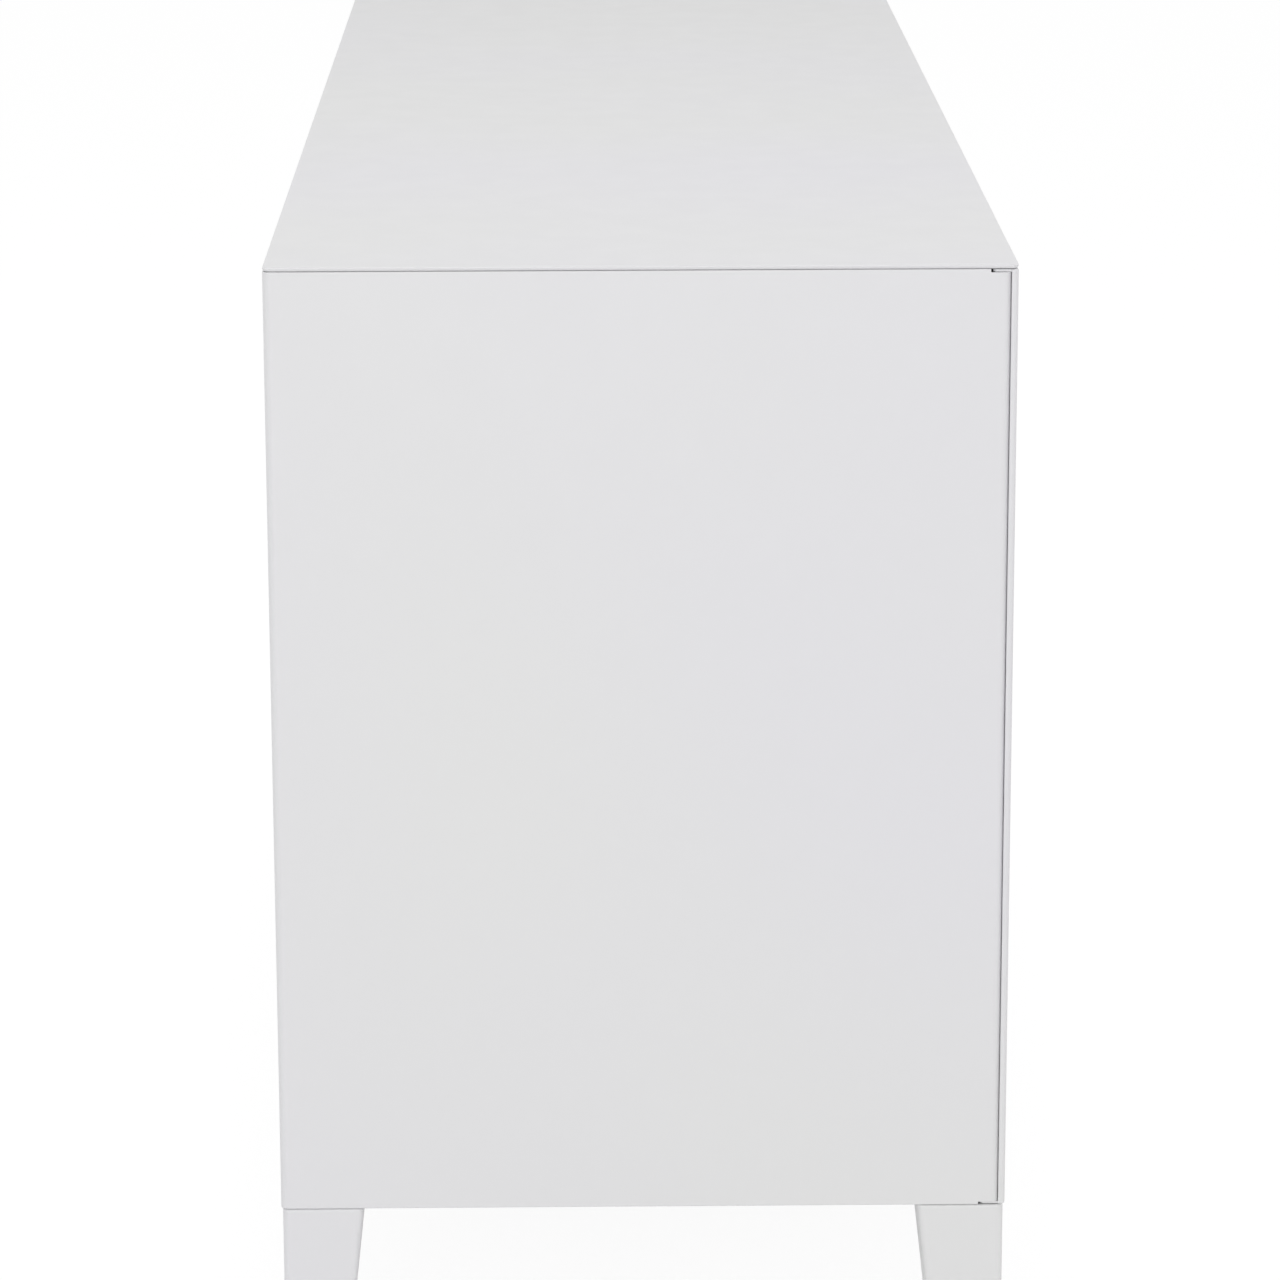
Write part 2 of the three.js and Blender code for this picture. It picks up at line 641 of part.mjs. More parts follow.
function hingeBlock(isUpper) {
  const clear = TAB_SHEET + 2 * NOTCH_GAP;
  const z0 = isUpper ? DOOR_TOP - clear - BLOCK_HEIGHT : DOOR_BOTTOM + clear;
  const x1 = WALL_INSIDE - FIT;
  const x0 = HALF - FRONT_RETURN + BODY_SHEET + FIT;
  return cut(
    prism(roundedRectangle(x0, x1, BLOCK_FRONT, BLOCK_BACK, BLOCK_RADIUS), z0, z0 + BLOCK_HEIGHT),
    uprightRod(PIN_DIAMETER + 2 * FIT, PIVOT_X, PIVOT_Y, z0 - PAST, z0 + BLOCK_HEIGHT + PAST),
  );
}

// Head and neck that both knobs share, as [radius, y] with the door face at y = 0.
function knobHead() {
  const r = KNOB_DIAMETER / 2;
  const back = KNOB_HEAD - KNOB_REACH;
  const rounding = [0, 45, 90].map((degrees) => {
    const angle = THREE.MathUtils.degToRad(degrees);
    const inward = KNOB_FACE_ROUNDING * (1 - Math.cos(angle));
    return [r - inward, KNOB_FACE_ROUNDING * (1 - Math.sin(angle)) - KNOB_REACH];
  });
  return [
    [NECK_DIAMETER / 2, back + NECK_FLARE],
    [r - KNOB_BACK_CHAMFER, back],
    [r, back - KNOB_BACK_CHAMFER],
    ...rounding,
    [0, -KNOB_REACH],
  ];
}

function fixedKnob() {
  return turned([
    [0, LINER_DEPTH + FIT + NUT_THICKNESS],
    [SPINDLE_DIAMETER / 2, LINER_DEPTH + FIT + NUT_THICKNESS],
    [SPINDLE_DIAMETER / 2, -FIT],
    [ROSE_DIAMETER / 2, -FIT],
    [ROSE_DIAMETER / 2, -FIT - ROSE_THICKNESS],
    [NECK_DIAMETER / 2, -2 * FIT - ROSE_THICKNESS],
    ...knobHead(),
  ]);
}

function knobNut() {
  const bore = SPINDLE_DIAMETER + 2 * FIT;
  return cut(
    levelRod(NUT_ACROSS_CORNERS, 0, 0, LINER_DEPTH + FIT, LINER_DEPTH + FIT + NUT_THICKNESS, 6),
    levelRod(bore, 0, 0, LINER_DEPTH, LINER_DEPTH + FIT + NUT_THICKNESS + PAST),
  );
}

function latchHousing() {
  const bore = SPINDLE_DIAMETER / 2 + FIT;
  const back = LINER_DEPTH + FIT;
  return turned([
    [bore, back],
    [HOUSING_DIAMETER / 2, back],
    [HOUSING_DIAMETER / 2, -FIT],
    [ROSE_DIAMETER / 2, -FIT],
    [ROSE_DIAMETER / 2, -FIT - ROSE_THICKNESS],
    [bore, -FIT - ROSE_THICKNESS],
    [bore, back],
  ]);
}

const CAM_FRONT = LINER_DEPTH + 2 * FIT;
const CAM_BACK = CAM_FRONT + CAM_SHEET;

function turningKnob() {
  const screwBore = SCREW_SHANK_DIAMETER / 2 + FIT;
  return turned([
    [0, CAM_BACK - SCREW_SHANK_LENGTH - FIT],
    [screwBore, CAM_BACK - SCREW_SHANK_LENGTH - FIT],
    [screwBore, CAM_BACK],
    [SPINDLE_DIAMETER / 2, CAM_BACK],
    [SPINDLE_DIAMETER / 2, -2 * FIT - ROSE_THICKNESS],
    [NECK_DIAMETER / 2, -2 * FIT - ROSE_THICKNESS],
    ...knobHead(),
  ]);
}

// The cam stands upright when the door is free, and turns in behind the post to hold it.
function latchCam() {
  const length = KNOB_X - POST_WIDTH / 2 + CAM_OVERLAP;
  const half = CAM_WIDTH / 2;
  return cut(
    join(
      levelRod(CAM_WIDTH, 0, 0, CAM_FRONT, CAM_BACK),
      box(-half, half, CAM_FRONT, CAM_BACK, 0, length - half),
      levelRod(CAM_WIDTH, 0, length - half, CAM_FRONT, CAM_BACK),
    ),
    levelRod(SPINDLE_DIAMETER + 2 * FIT, 0, 0, CAM_FRONT - PAST, CAM_BACK + PAST),
  );
}

function camScrew() {
  const seat = CAM_BACK + FIT;
  return turned([
    [0, seat + SCREW_HEAD_THICKNESS],
    [SCREW_HEAD_DIAMETER / 2 - HEAD_CHAMFER, seat + SCREW_HEAD_THICKNESS],
    [SCREW_HEAD_DIAMETER / 2, seat + SCREW_HEAD_THICKNESS - HEAD_CHAMFER],
    [SCREW_HEAD_DIAMETER / 2, seat],
    [SCREW_SHANK_DIAMETER / 2, seat],
    [SCREW_SHANK_DIAMETER / 2, seat - SCREW_SHANK_LENGTH],
    [0, seat - SCREW_SHANK_LENGTH],
  ]);
}

function strikePlate() {
  const x1 = BODY_SHEET / 2 + FIT + CATCH_WIDTH;
  const y0 = LINER_BACK + FIT;
  const half = STRIKE_HEIGHT / 2;
  return box(x1 - STRIKE_WIDTH, x1, y0, y0 + STRIKE_SHEET, CATCH_Z - half, CATCH_Z + half);
}

function magneticCatch() {
  const x0 = BODY_SHEET / 2 + FIT;
  const y0 = LINER_BACK + FIT + STRIKE_SHEET + CATCH_GAP;
  const half = CATCH_HEIGHT / 2;
  return box(x0, x0 + CATCH_WIDTH, y0, y0 + CATCH_DEPTH, CATCH_Z - half, CATCH_Z + half);
}

// Upright prism whose lower end is drawn in towards one fixed corner.
function drawnIn(x0, x1, y0, y1, z0, z1, radius, corner, narrowing) {
  const geometry = prism(roundedRectangle(x0, x1, y0, y1, radius), z0, z1);
  const position = geometry.attributes.position;
  const shrinkX = 1 - narrowing / (x1 - x0);
  const shrinkY = 1 - narrowing / (y1 - y0);
  const middle = (z0 + z1) / 2;
  for (let index = 0; index < position.count; index += 1) {
    if (position.getZ(index) < middle) {
      position.setX(index, corner[0] + (position.getX(index) - corner[0]) * shrinkX);
      position.setY(index, corner[1] + (position.getY(index) - corner[1]) * shrinkY);
    }
  }
  return geometry;
}

// Leg: a hollow post, upright on its two outer faces and tapered on the inner two.
function leg(isFront) {
  const { depth, outerY, inward, bolt, foot } = legPlace(isFront);
  const ys = [outerY, outerY + inward * depth].sort((a, b) => a - b);
  const shell = drawnIn(
    HALF - LEG_WIDTH,
    HALF,
    ...ys,
    LEG_BOTTOM,
    LEG_TOP,
    EDGE_RADIUS,
    [HALF, outerY],
    LEG_TAPER * (LEG_TOP - LEG_BOTTOM),
  );
  const z0 = LEG_BOTTOM + LEG_PLATE;
  const z1 = LEG_TOP - LEG_PLATE;
  const drawn = LEG_TAPER * LEG_PLATE + LEG_WALL;
  const hollowYs = [outerY + inward * LEG_WALL, outerY + inward * (depth - drawn)].sort((a, b) => a - b);
  const hollow = drawnIn(
    HALF - LEG_WIDTH + drawn,
    HALF - LEG_WALL,
    ...hollowYs,
    z0,
    z1,
    EDGE_RADIUS - LEG_WALL,
    [HALF - LEG_WALL, outerY + inward * LEG_WALL],
    LEG_TAPER * (z1 - z0),
  );
  const bore = BOLT_DIAMETER + 2 * FIT;
  return cut(
    shell,
    hollow,
    uprightRod(bore, ...bolt, z1 - PAST, LEG_TOP + PAST),
    uprightRod(bore, ...foot, LEG_BOTTOM - PAST, z0 + PAST),
  );
}

// Turned pieces that stand on end: the same profiles, with height for y.
const turnedUpright = (profile, sides) => turned(profile, sides).rotateX(Math.PI / 2);

function legBolt() {
  const seat = FLOOR_TOP + FIT;
  return turnedUpright([
    [0, seat + BOLT_HEAD_THICKNESS],
    [BOLT_HEAD_DIAMETER / 2 - HEAD_CHAMFER, seat + BOLT_HEAD_THICKNESS],
    [BOLT_HEAD_DIAMETER / 2, seat + BOLT_HEAD_THICKNESS - HEAD_CHAMFER],
    [BOLT_HEAD_DIAMETER / 2, seat],
    [BOLT_DIAMETER / 2, seat],
    [BOLT_DIAMETER / 2, seat - BOLT_LENGTH],
    [0, seat - BOLT_LENGTH],
  ]);
}

function levellingFoot() {
  return turnedUpright([
    [0, FOOT_THICKNESS + FOOT_STEM],
    [BOLT_DIAMETER / 2, FOOT_THICKNESS + FOOT_STEM],
    [BOLT_DIAMETER / 2, FOOT_THICKNESS],
    [FOOT_DIAMETER / 2 - FOOT_CHAMFER, FOOT_THICKNESS],
    [FOOT_DIAMETER / 2, FOOT_THICKNESS - FOOT_CHAMFER],
    [FOOT_DIAMETER / 2, SOLE_CHAMFER],
    [FOOT_DIAMETER / 2 - SOLE_CHAMFER, 0],
    [0, 0],
  ]);
}

// One half of the cabinet, with its door, in the half frame.
function half(side, isLatched) {
  const group = new THREE.Group();
  const add = (name, geometry, material, at) => group.add(piece(`${side}_${name}`, geometry, material, at));
  add("side_panel", sidePanel(), paint());
  add("back_panel", backPanel(), paint());
  add("outlet_plate", outletPlate(), paint());
  add("cable_grommet", cableGrommet(), blackPlastic(), [CABLE_X, 0, CABLE_Z]);
  add("shelf", shelf(), paint());
  add("magnetic_catch", magneticCatch(), whitePlastic());
  UPRIGHT_YS.forEach((y, index) => {
    const place = index ? "back" : "front";
    add(`${place}_upright`, upright(y), paint());
    add(`${place}_shelf_clip`, shelfClip(y), zinc());
  });
  for (const isUpper of [true, false]) {
    const place = isUpper ? "upper" : "lower";
    add(`${place}_hinge_block`, hingeBlock(isUpper), whitePlastic());
    add(`${place}_pivot_pin`, pivotPin(isUpper), zinc(), [PIVOT_X, PIVOT_Y, 0]);
  }
  for (const isFront of [true, false]) {
    const place = isFront ? "front" : "back";
    const { bolt, foot } = legPlace(isFront);
    add(`${place}_leg`, leg(isFront), paint());
    add(`${place}_leg_bolt`, legBolt(), zinc(), [...bolt, 0]);
    add(`${place}_foot`, levellingFoot(), blackPlastic(), [...foot, 0]);
  }
  const bore = (isLatched ? HOUSING_DIAMETER : SPINDLE_DIAMETER) + 2 * FIT;
  add("door_skin", doorSkin(bore), paint());
  add("door_liner", doorLiner(bore), paint());
  add("strike_plate", strikePlate(), zinc());
  return group;
}

const cabinet = new THREE.Group();
cabinet.position.y = KNOB_REACH / 2; // the origin is under the middle of the whole, knobs included

const right = half("right", true);
const left = half("left", false);
left.scale.x = -1;
cabinet.add(left, right);

cabinet.add(
  piece("top_panel", topPanel(), paint()),
  piece("top_front_rail", topFrontRail(), paint()),
  piece("top_back_rail", topBackRail(), paint()),
  piece("bottom_panel", bottomPanel(), paint()),
  piece("centre_post", centrePost(), paint()),
  piece("centre_divider", centreDivider(), paint()),
);

UPRIGHT_YS.forEach((y, index) => {
  const reach = BODY_SHEET / 2 + SHELF_PIN_REACH;
  const rod = shelfPinRod(SHELF_PIN_DIAMETER, y, SHELF_SLOT, reach, 16);
  cabinet.add(piece(`centre_${index ? "back" : "front"}_shelf_pin`, rod, zinc()));
});

const knobPlace = (side) => [side * KNOB_X, FRONT, KNOB_Z];
cabinet.add(
  piece("left_knob", fixedKnob(), zinc(), knobPlace(-1)),
  piece("left_knob_nut", knobNut(), zinc(), knobPlace(-1)),
  piece("latch_housing", latchHousing(), zinc(), knobPlace(1)),
  piece("latch_knob", turningKnob(), zinc(), knobPlace(1)),
  piece("latch_cam", latchCam(), zinc(), knobPlace(1)),
  piece("latch_cam_screw", camScrew(), zinc(), knobPlace(1)),
);

const part = new THREE.Group();
part.add(cabinet);

export default part;
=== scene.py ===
"""TV stand with doors: finishes, fine edges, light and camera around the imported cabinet.

Metres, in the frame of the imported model: +X along the length, -Y the doors, +Z up.
"""
import json
import math

import bmesh
import bpy
from mathutils import Matrix, Vector


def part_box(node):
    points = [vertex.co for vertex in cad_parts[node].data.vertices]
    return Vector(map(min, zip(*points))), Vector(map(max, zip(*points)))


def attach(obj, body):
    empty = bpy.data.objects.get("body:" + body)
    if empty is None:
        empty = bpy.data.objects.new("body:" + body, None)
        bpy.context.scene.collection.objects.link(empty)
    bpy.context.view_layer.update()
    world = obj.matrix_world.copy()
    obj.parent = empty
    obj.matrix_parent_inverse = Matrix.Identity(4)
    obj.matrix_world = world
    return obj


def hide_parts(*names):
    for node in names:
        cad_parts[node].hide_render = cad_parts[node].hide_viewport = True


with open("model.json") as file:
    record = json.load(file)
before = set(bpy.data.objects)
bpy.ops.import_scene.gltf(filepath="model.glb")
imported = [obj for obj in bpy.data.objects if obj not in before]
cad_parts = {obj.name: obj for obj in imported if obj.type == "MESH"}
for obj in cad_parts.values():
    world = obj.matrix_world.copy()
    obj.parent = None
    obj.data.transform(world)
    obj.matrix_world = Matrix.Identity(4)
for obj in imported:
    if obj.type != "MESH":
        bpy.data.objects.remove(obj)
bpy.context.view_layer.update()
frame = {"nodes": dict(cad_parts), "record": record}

MM = 0.001
X, Y, Z = range(3)
BACKWARDS = Vector((0, 1, 0))
SIDES = {"left": -1, "right": 1}
PLACES = ("front", "back")
QUARTER_TURN = math.radians(90)

# Meshes
WELD = 1e-6
NEAR = 1e-5
TINY = 1e-12
KEY_DIGITS = 5  # decimals of a metre that tell the corners of a turned node's outline apart
SLANT = 0.01  # sine of the turn round the axis that an edge of that outline may make
FLAT = math.radians(0.3)  # faces that turn less than this are one
SHARP = math.radians(30)  # edges that turn more than this are sharp
CARVED_SHARP = math.radians(16)  # the same, on a piece with a recess cut into it
SLIGHT = math.radians(12)  # corners of an outline that turn less than this stay as they are
STEEP = 0.5  # a face whose normal rises less than this is a wall
MOST_CORNERS = 4  # faces with more corners are split into triangles
SIDE_SHARE = 0.45  # how much of a side of an outline a rounded corner may take up
ROUND_STEPS = 6
CORNER_STEPS = 10
BEVEL_STEPS = 3

# Edges of the sheet pieces
SHEET_EDGE = 0.3 * MM
THIN_EDGE = 0.2 * MM
BEND = 1.0 * MM
THIN_BEND = 0.8 * MM
PANEL_RIM = 0.6 * MM
DOOR_RIM = 0.8 * MM
LEG_RIM = 1.2 * MM
DOOR_FOLD = 2.4 * MM  # radius of a door's fold beside the hinges
CAD_DOOR_FOLD = 1.2 * MM
DOOR_THICKNESS = 3.4 * MM

# How far planes move towards their neighbours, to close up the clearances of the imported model
TOP_CLOSE = 0.26 * MM
NOTCH_CLOSE = 0.2 * MM
DOOR_CLOSE = 0.32 * MM
TAB_AND_GAP = 1.5 * MM  # from a door's end to the edge of the notch that its hinge tab turns in
TAB_RECESS = 1.1 * MM  # from the outside of the cabinet in to a hinge tab

# Top panel
TOP_EDGE = 0.5 * MM
TOP_CORNER = 3.5 * MM
TOP_SHEET = 1.2 * MM
HEM_WIDTH = 32 * MM
HEM_EDGE = 0.5 * MM
HEM_CORNER = 5 * MM

# Screws with a cross recess: the outline as shares of radius and height, and the cross
SCREW_DOME = ((0, 0), (1, 0), (1, 0.4), (0.8, 0.85), (0.35, 1), (0, 1))
SCREW_SIDES = 24
CROSS_REACH = 0.55
CROSS_HALF = 0.11
CROSS_FLOOR = 0.45
CROSS_EDGE = 0.02
CROSS_SPIN = 0.9  # radians from one screw's cross to the next one's
CATCH_SCREW = {"radius": 2.6 * MM, "height": 1.1 * MM}
STRIKE_SCREW = {"radius": 2.6 * MM, "height": 0.3 * MM}
BACK_SCREW = {"radius": 3.2 * MM, "height": 1.1 * MM}
OUTLET_SCREW = {"radius": 2.2 * MM, "height": 0.9 * MM}

# Turned pieces: the radius of their corners, and the number of sides that they are spun in
PIVOT_PIN = {"corner": 0.4 * MM, "sides": 32}
KNOB = {"corner": 0.3 * MM, "sides": 96}
CAM_SCREW = {"corner": 0.5 * MM, "sides": 48}
LEG_BOLT = {"corner": 0.8 * MM, "sides": 48}
GROMMET = {"corner": 0.5 * MM, "sides": 128}
SHELF_PIN = {"corner": 0.6 * MM, "sides": 48}

# Hinges and catches
HINGE_BLOCK_EDGE = 0.6 * MM
STRIKE_EDGE = 0.25 * MM
CATCH_EDGE = 0.9 * MM
CATCH_SCREW_SPREAD = 6 * MM  # from the middle of a catch to each of its screws
POLE_SPREAD = 3.6 * MM  # and to each of its pole plates
POLE_THICKNESS = 1.5 * MM
POLE_PROUD = 0.3 * MM
POLE_DEPTH = 2 * MM
POLE_INSET = 1 * MM
POLE_EDGE = 0.2 * MM

# Knobs and latch
NUT_EDGE = 0.5 * MM
DISH_DEPTH = 0.4 * MM
DISH_RIM = 1.2 * MM
SLOT_WIDTH = 1.4 * MM
SLOT_LENGTH = 11 * MM
SLOT_DEPTH = 1.4 * MM
SLOT_EDGE = 0.3 * MM
CAM_EDGE = 0.3 * MM
CAM_CROSS_REACH = 3.2 * MM
CAM_CROSS_HALF = 0.6 * MM
CAM_CROSS_DEPTH = 1.5 * MM
CAM_CROSS_EDGE = 0.1 * MM
PAST = 1 * MM  # how far a cutter runs past the face that it cuts into

# Feet and leg bolts
FOOT_RADIUS = 14 * MM
FOOT_HEIGHT = 6 * MM
FOOT_CHAMFER = 2 * MM
FOOT_EDGE = 0.5 * MM
FOOT_SIDES = 96
SOLE_RIM = 4.5 * MM
SOLE_SLOPE = 0.5 * MM
SOLE_DEPTH = 0.6 * MM
SOLE_CHAMFER = 1 * MM
COLLAR_WIDTH = 1 * MM  # of the groove round the stem, and of its sloping side
COLLAR_DEPTH = 0.6 * MM
FLUTES = 28
FLUTE_DEPTH = 0.6 * MM
STEM_RADIUS = 4 * MM
STEM_SUNK = 1 * MM
THREAD_PITCH = 1.25 * MM
THREAD_DEPTH = 0.65 * MM
THREAD_ROWS = 6  # for each turn
THREAD_SIDES = 32
THREAD_SLOPE = 2.6  # of the thread's flanks, in depths for each pitch
THREAD_ROOT = 0.15  # how far the flanks run below the root, which leaves it flat
SOCKET_SIDES = 6
SOCKET_RADIUS = 2.9 * MM
SOCKET_DEPTH = 2.4 * MM

# Screws in the back
SCREW_INSET = 8 * MM
OUTLET_SCREW_INSET = 4 * MM
SHARES_ACROSS = (0.12, 0.5, 0.88)
SHARES_UP = (0.3, 0.5, 0.7)

# Camera, placed from the near end, the middle of the depth and the top surface
CAMERA_DISTANCE = 2.657
CAMERA_ASIDE = 0.0333
CAMERA_RISE = 0.457
CAMERA_LENS = 143.3  # for a 36 mm sensor
CAMERA_PITCH = math.radians(13.954)
CAMERA_YAW = math.radians(-0.698)
CAMERA_ROLL = math.radians(-0.153)
CAMERA_RANGE = 200.0

# Light: each lamp's name, place, size and power
LAMPS = (
    ("key", (-4.2, 0.3, 0.75), 3.0, 53.0),
    ("overhead", (-0.75, 0.0, 2.7), 1.8, 13.5),
    ("front_fill", (0.8, -4.4, 1.0), 3.0, 26.0),
    ("back_fill", (1.8, 4.2, 1.0), 3.0, 26.0),
)
LAMP_TARGET = Vector((0.0, 0.0, 0.35))
SKY_LEVEL = 0.62
FLOOR_SIZE = 60.0
FLOOR_ALBEDO = 0.85
FLOOR_LIGHT = 0.68  # how bright the lamps and the sky make a white floor
SHADOW_SHARE = 0.16  # the part of the floor's seen brightness that takes the object's shadow


# ---------------------------------------------------------------- materials
class Graph:
    """A material's node tree, with short calls for adding and linking nodes."""

    def __init__(self, name):
        self.material = bpy.data.materials.new(name)
        self.material.use_nodes = True
        self.tree = self.material.node_tree
        self.shader = self.tree.nodes["Principled BSDF"]
        self.place = self.add("ShaderNodeTexCoord").outputs["Object"]

    def add(self, kind, **settings):
        node = self.tree.nodes.new(kind)
        for key, value in settings.items():
            setattr(node, key, value)
        return node

    def link(self, source, target):
        self.tree.links.new(source, target)

    def noise(self, scale, detail):
        node = self.add("ShaderNodeTexNoise")
        node.inputs["Scale"].default_value = scale
        node.inputs["Detail"].default_value = detail
        self.link(self.place, node.inputs["Vector"])
        return node.outputs["Fac"]

    def spread(self, value, low, high, start=0.3, end=0.7):
        """Maps a value that runs from start to end onto low to high."""
        node = self.add("ShaderNodeMapRange")
        self.link(value, node.inputs["Value"])
        node.inputs["From Min"].default_value = start
        node.inputs["From Max"].default_value = end
        node.inputs["To Min"].default_value = low
        node.inputs["To Max"].default_value = high
        return node.outputs["Result"]

    def tone(self, noise, one, other):
        """A base colour that drifts from one colour to the other with the noise."""
        node = self.add("ShaderNodeMix", data_type="RGBA")
        share = self.spread(noise, low=0.0, high=1.0, start=0.35, end=0.65)
        self.link(share, node.inputs["Factor"])
        node.inputs["A"].default_value = (*one, 1.0)
        node.inputs["B"].default_value = (*other, 1.0)
        self.link(node.outputs["Result"], self.shader.inputs["Base Color"])

    def roughness(self, noise, low, high):
        self.link(self.spread(noise, low, high), self.shader.inputs["Roughness"])

    def bump(self, height, distance, strength=1.0, under=None):
        node = self.add("ShaderNodeBump")
        node.inputs["Distance"].default_value = distance
        node.inputs["Strength"].default_value = strength
        self.link(height, node.inputs["Height"])
        if under:
            self.link(under, node.inputs["Normal"])
        return node.outputs["Normal"]

    def relief(self, height, distance, strength=1.0, under=None):
        """The surface's own bump, over another one if there is one under it."""
        normal = self.bump(height, distance, strength, under)
        self.link(normal, self.shader.inputs["Normal"])


def powder_coat():
    """White satin powder coat: faint cool patches, orange peel, and the waves of thin sheet."""
    g = Graph("white_powder_coat")
    g.tone(g.noise(scale=2.6, detail=1.0), (0.765, 0.765, 0.765), (0.762, 0.757, 0.782))
    g.roughness(g.noise(scale=38.0, detail=3.0), low=0.40, high=0.50)
    waves = g.bump(g.noise(scale=5.0, detail=1.0), distance=0.0012)
    g.relief(g.noise(scale=900.0, detail=2.0), distance=0.00002, strength=0.5, under=waves)
    g.shader.inputs["Specular IOR Level"].default_value = 0.4
    return g.material


def zinc_steel():
    """Zinc-plated steel: a satin metal with a fine grain."""
    g = Graph("zinc_steel")
    g.tone(g.noise(scale=160.0, detail=3.0), (0.58, 0.59, 0.61), (0.66, 0.67, 0.69))
    g.shader.inputs["Metallic"].default_value = 1.0
    g.roughness(g.noise(scale=420.0, detail=2.0), low=0.26, high=0.38)
    g.relief(g.noise(scale=2400.0, detail=2.0), distance=0.00001, strength=0.5)
    return g.material


def turned_steel(centre):
    """Nickel-plated steel off the lathe: fine rings round the knob's axis."""
    g = Graph("turned_steel")
    mapping = g.add("ShaderNodeMapping", vector_type="POINT")
    mapping.inputs["Location"].default_value = -centre
    g.link(g.place, mapping.inputs["Vector"])
    rings = g.add("ShaderNodeTexWave", wave_type="RINGS", rings_direction="Y")
    rings.inputs["Scale"].default_value = 700.0
    rings.inputs["Distortion"].default_value = 0.6
    g.link(mapping.outputs["Vector"], rings.inputs["Vector"])
    g.tone(g.noise(scale=90.0, detail=3.0), (0.60, 0.605, 0.615), (0.66, 0.665, 0.675))
    g.shader.inputs["Metallic"].default_value = 1.0
    g.roughness(g.noise(scale=300.0, detail=2.0), low=0.22, high=0.30)
    g.relief(rings.outputs["Fac"], distance=0.00001, strength=0.4)
    return g.material


def white_nylon():
    """Moulded nylon: matt, with the finest of pitting."""
    g = Graph("white_nylon")
    g.tone(g.noise(scale=60.0, detail=2.0), (0.74, 0.74, 0.73), (0.78, 0.78, 0.775))
    g.roughness(g.noise(scale=500.0, detail=2.0), low=0.48, high=0.58)
    g.relief(g.noise(scale=1800.0, detail=2.0), distance=0.00002, strength=0.5)
    return g.material


def black_plastic():
    """Moulded black plastic with a fine grain."""
    g = Graph("black_plastic")
    g.tone(g.noise(scale=70.0, detail=2.0), (0.020, 0.020, 0.022), (0.032, 0.032, 0.035))
    g.roughness(g.noise(scale=600.0, detail=2.0), low=0.42, high=0.56)
    g.relief(g.noise(scale=2600.0, detail=3.0), distance=0.00003, strength=0.6)
    return g.material


FINISH = {
    "white_paint": powder_coat(),
    "zinc_steel": zinc_steel(),
    "white_plastic": white_nylon(),
    "black_plastic": black_plastic(),
}
TURNED = {}
for node in ("left_knob", "latch_knob", "latch_housing"):
    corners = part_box(node)
    TURNED[node] = turned_steel((corners[0] + corners[1]) / 2)

SLOT_OF = {row["node"]: row["material_slot"] for row in frame["record"]["subparts"]}
BODY_OF = {}
for body, members in frame["record"]["behaviour"]["bodies"].items():
    for member in members:
        BODY_OF[member] = body


# ---------------------------------------------------------------- meshes
def cad_mesh(node):
    """The CAD node's mesh, with the corners of its faces welded."""
    bm = bmesh.new()
    bm.from_mesh(frame["nodes"][node].data)
    bmesh.ops.remove_doubles(bm, verts=bm.verts, dist=WELD)
    return bm


def finished(bm, name):
    """The mesh that has been built in bm, which is freed."""
    mesh = bpy.data.meshes.new(name)
    bm.to_mesh(mesh)
    bm.free()
    return mesh


def add_object(name, data):
    """Puts a new object with this data in the scene."""
    added = bpy.data.objects.new(name, data)
    bpy.context.scene.collection.objects.link(added)
    return added


def shade(mesh, material):
    """Gives a mesh its material, and smooth shading up to its sharp edges."""
    mesh.polygons.foreach_set("use_smooth", [True] * len(mesh.polygons))
    mesh.set_sharp_from_angle(angle=SHARP)
    mesh.materials.append(material)


def make_piece(name, bm, body, slot, material=None, replaces=None):
    """Turns a mesh into a smooth-shaded piece that rides on a body."""
    mesh = finished(bm, name)
    shade(mesh, material or FINISH[slot])
    piece = add_object(name, mesh)
    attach(piece, body)
    if replaces:
        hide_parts(replaces)
    return piece


def stand_in(node, bm, material=None):
    """Makes the piece that shows in place of a CAD node."""
    return make_piece(f"{node}_fine", bm, BODY_OF[node], SLOT_OF[node], material, node)


def apply_modifiers(piece):
    """Makes what the piece's modifiers do part of its mesh."""
    bpy.context.view_layer.update()
    evaluated = piece.evaluated_get(bpy.context.evaluated_depsgraph_get())
    mesh = bpy.data.meshes.new_from_object(evaluated)
    piece.modifiers.clear()
    piece.data = mesh


def settle(piece):
    """Applies the piece's modifiers, with normals that leave its flat faces flat."""
    split = piece.modifiers.new("triangles", "TRIANGULATE")
    split.min_vertices = MOST_CORNERS + 1
    even = piece.modifiers.new("normals", "WEIGHTED_NORMAL")
    even.keep_sharp = True
    apply_modifiers(piece)


def merge_flat_faces(bm):
    """Joins neighbouring faces that lie in one plane."""
    bmesh.ops.dissolve_limit(bm, angle_limit=FLAT, verts=bm.verts, edges=bm.edges)


def refined(node, width, wide=None, wide_width=0.0, edit=None):
    """The CAD node, its sharp edges rounded by width, or by wide_width where wide(edge) says so."""
    bm = cad_mesh(node)
    if edit:
        edit(bm)
    merge_flat_faces(bm)
    share = bm.edges.layers.float.new("bevel_weight_edge")
    most = max(width, wide_width)
    for edge in bm.edges:
        if edge.is_manifold and edge.calc_face_angle() > SHARP:
            edge[share] = (wide_width if wide and wide(edge) else width) / most
    piece = stand_in(node, bm)
    bevel = piece.modifiers.new("edges", "BEVEL")
    bevel.width = most
    bevel.segments = BEVEL_STEPS
    bevel.limit_method = "WEIGHT"
    bevel.use_clamp_overlap = False
    bevel.loop_slide = False
    settle(piece)


def shift_plane(bm, axis, place, amount):
    """Moves the vertices that lie on one plane along its axis."""
    for vert in bm.verts:
        if abs(vert.co[axis] - place) < NEAR:
            vert.co[axis] += amount


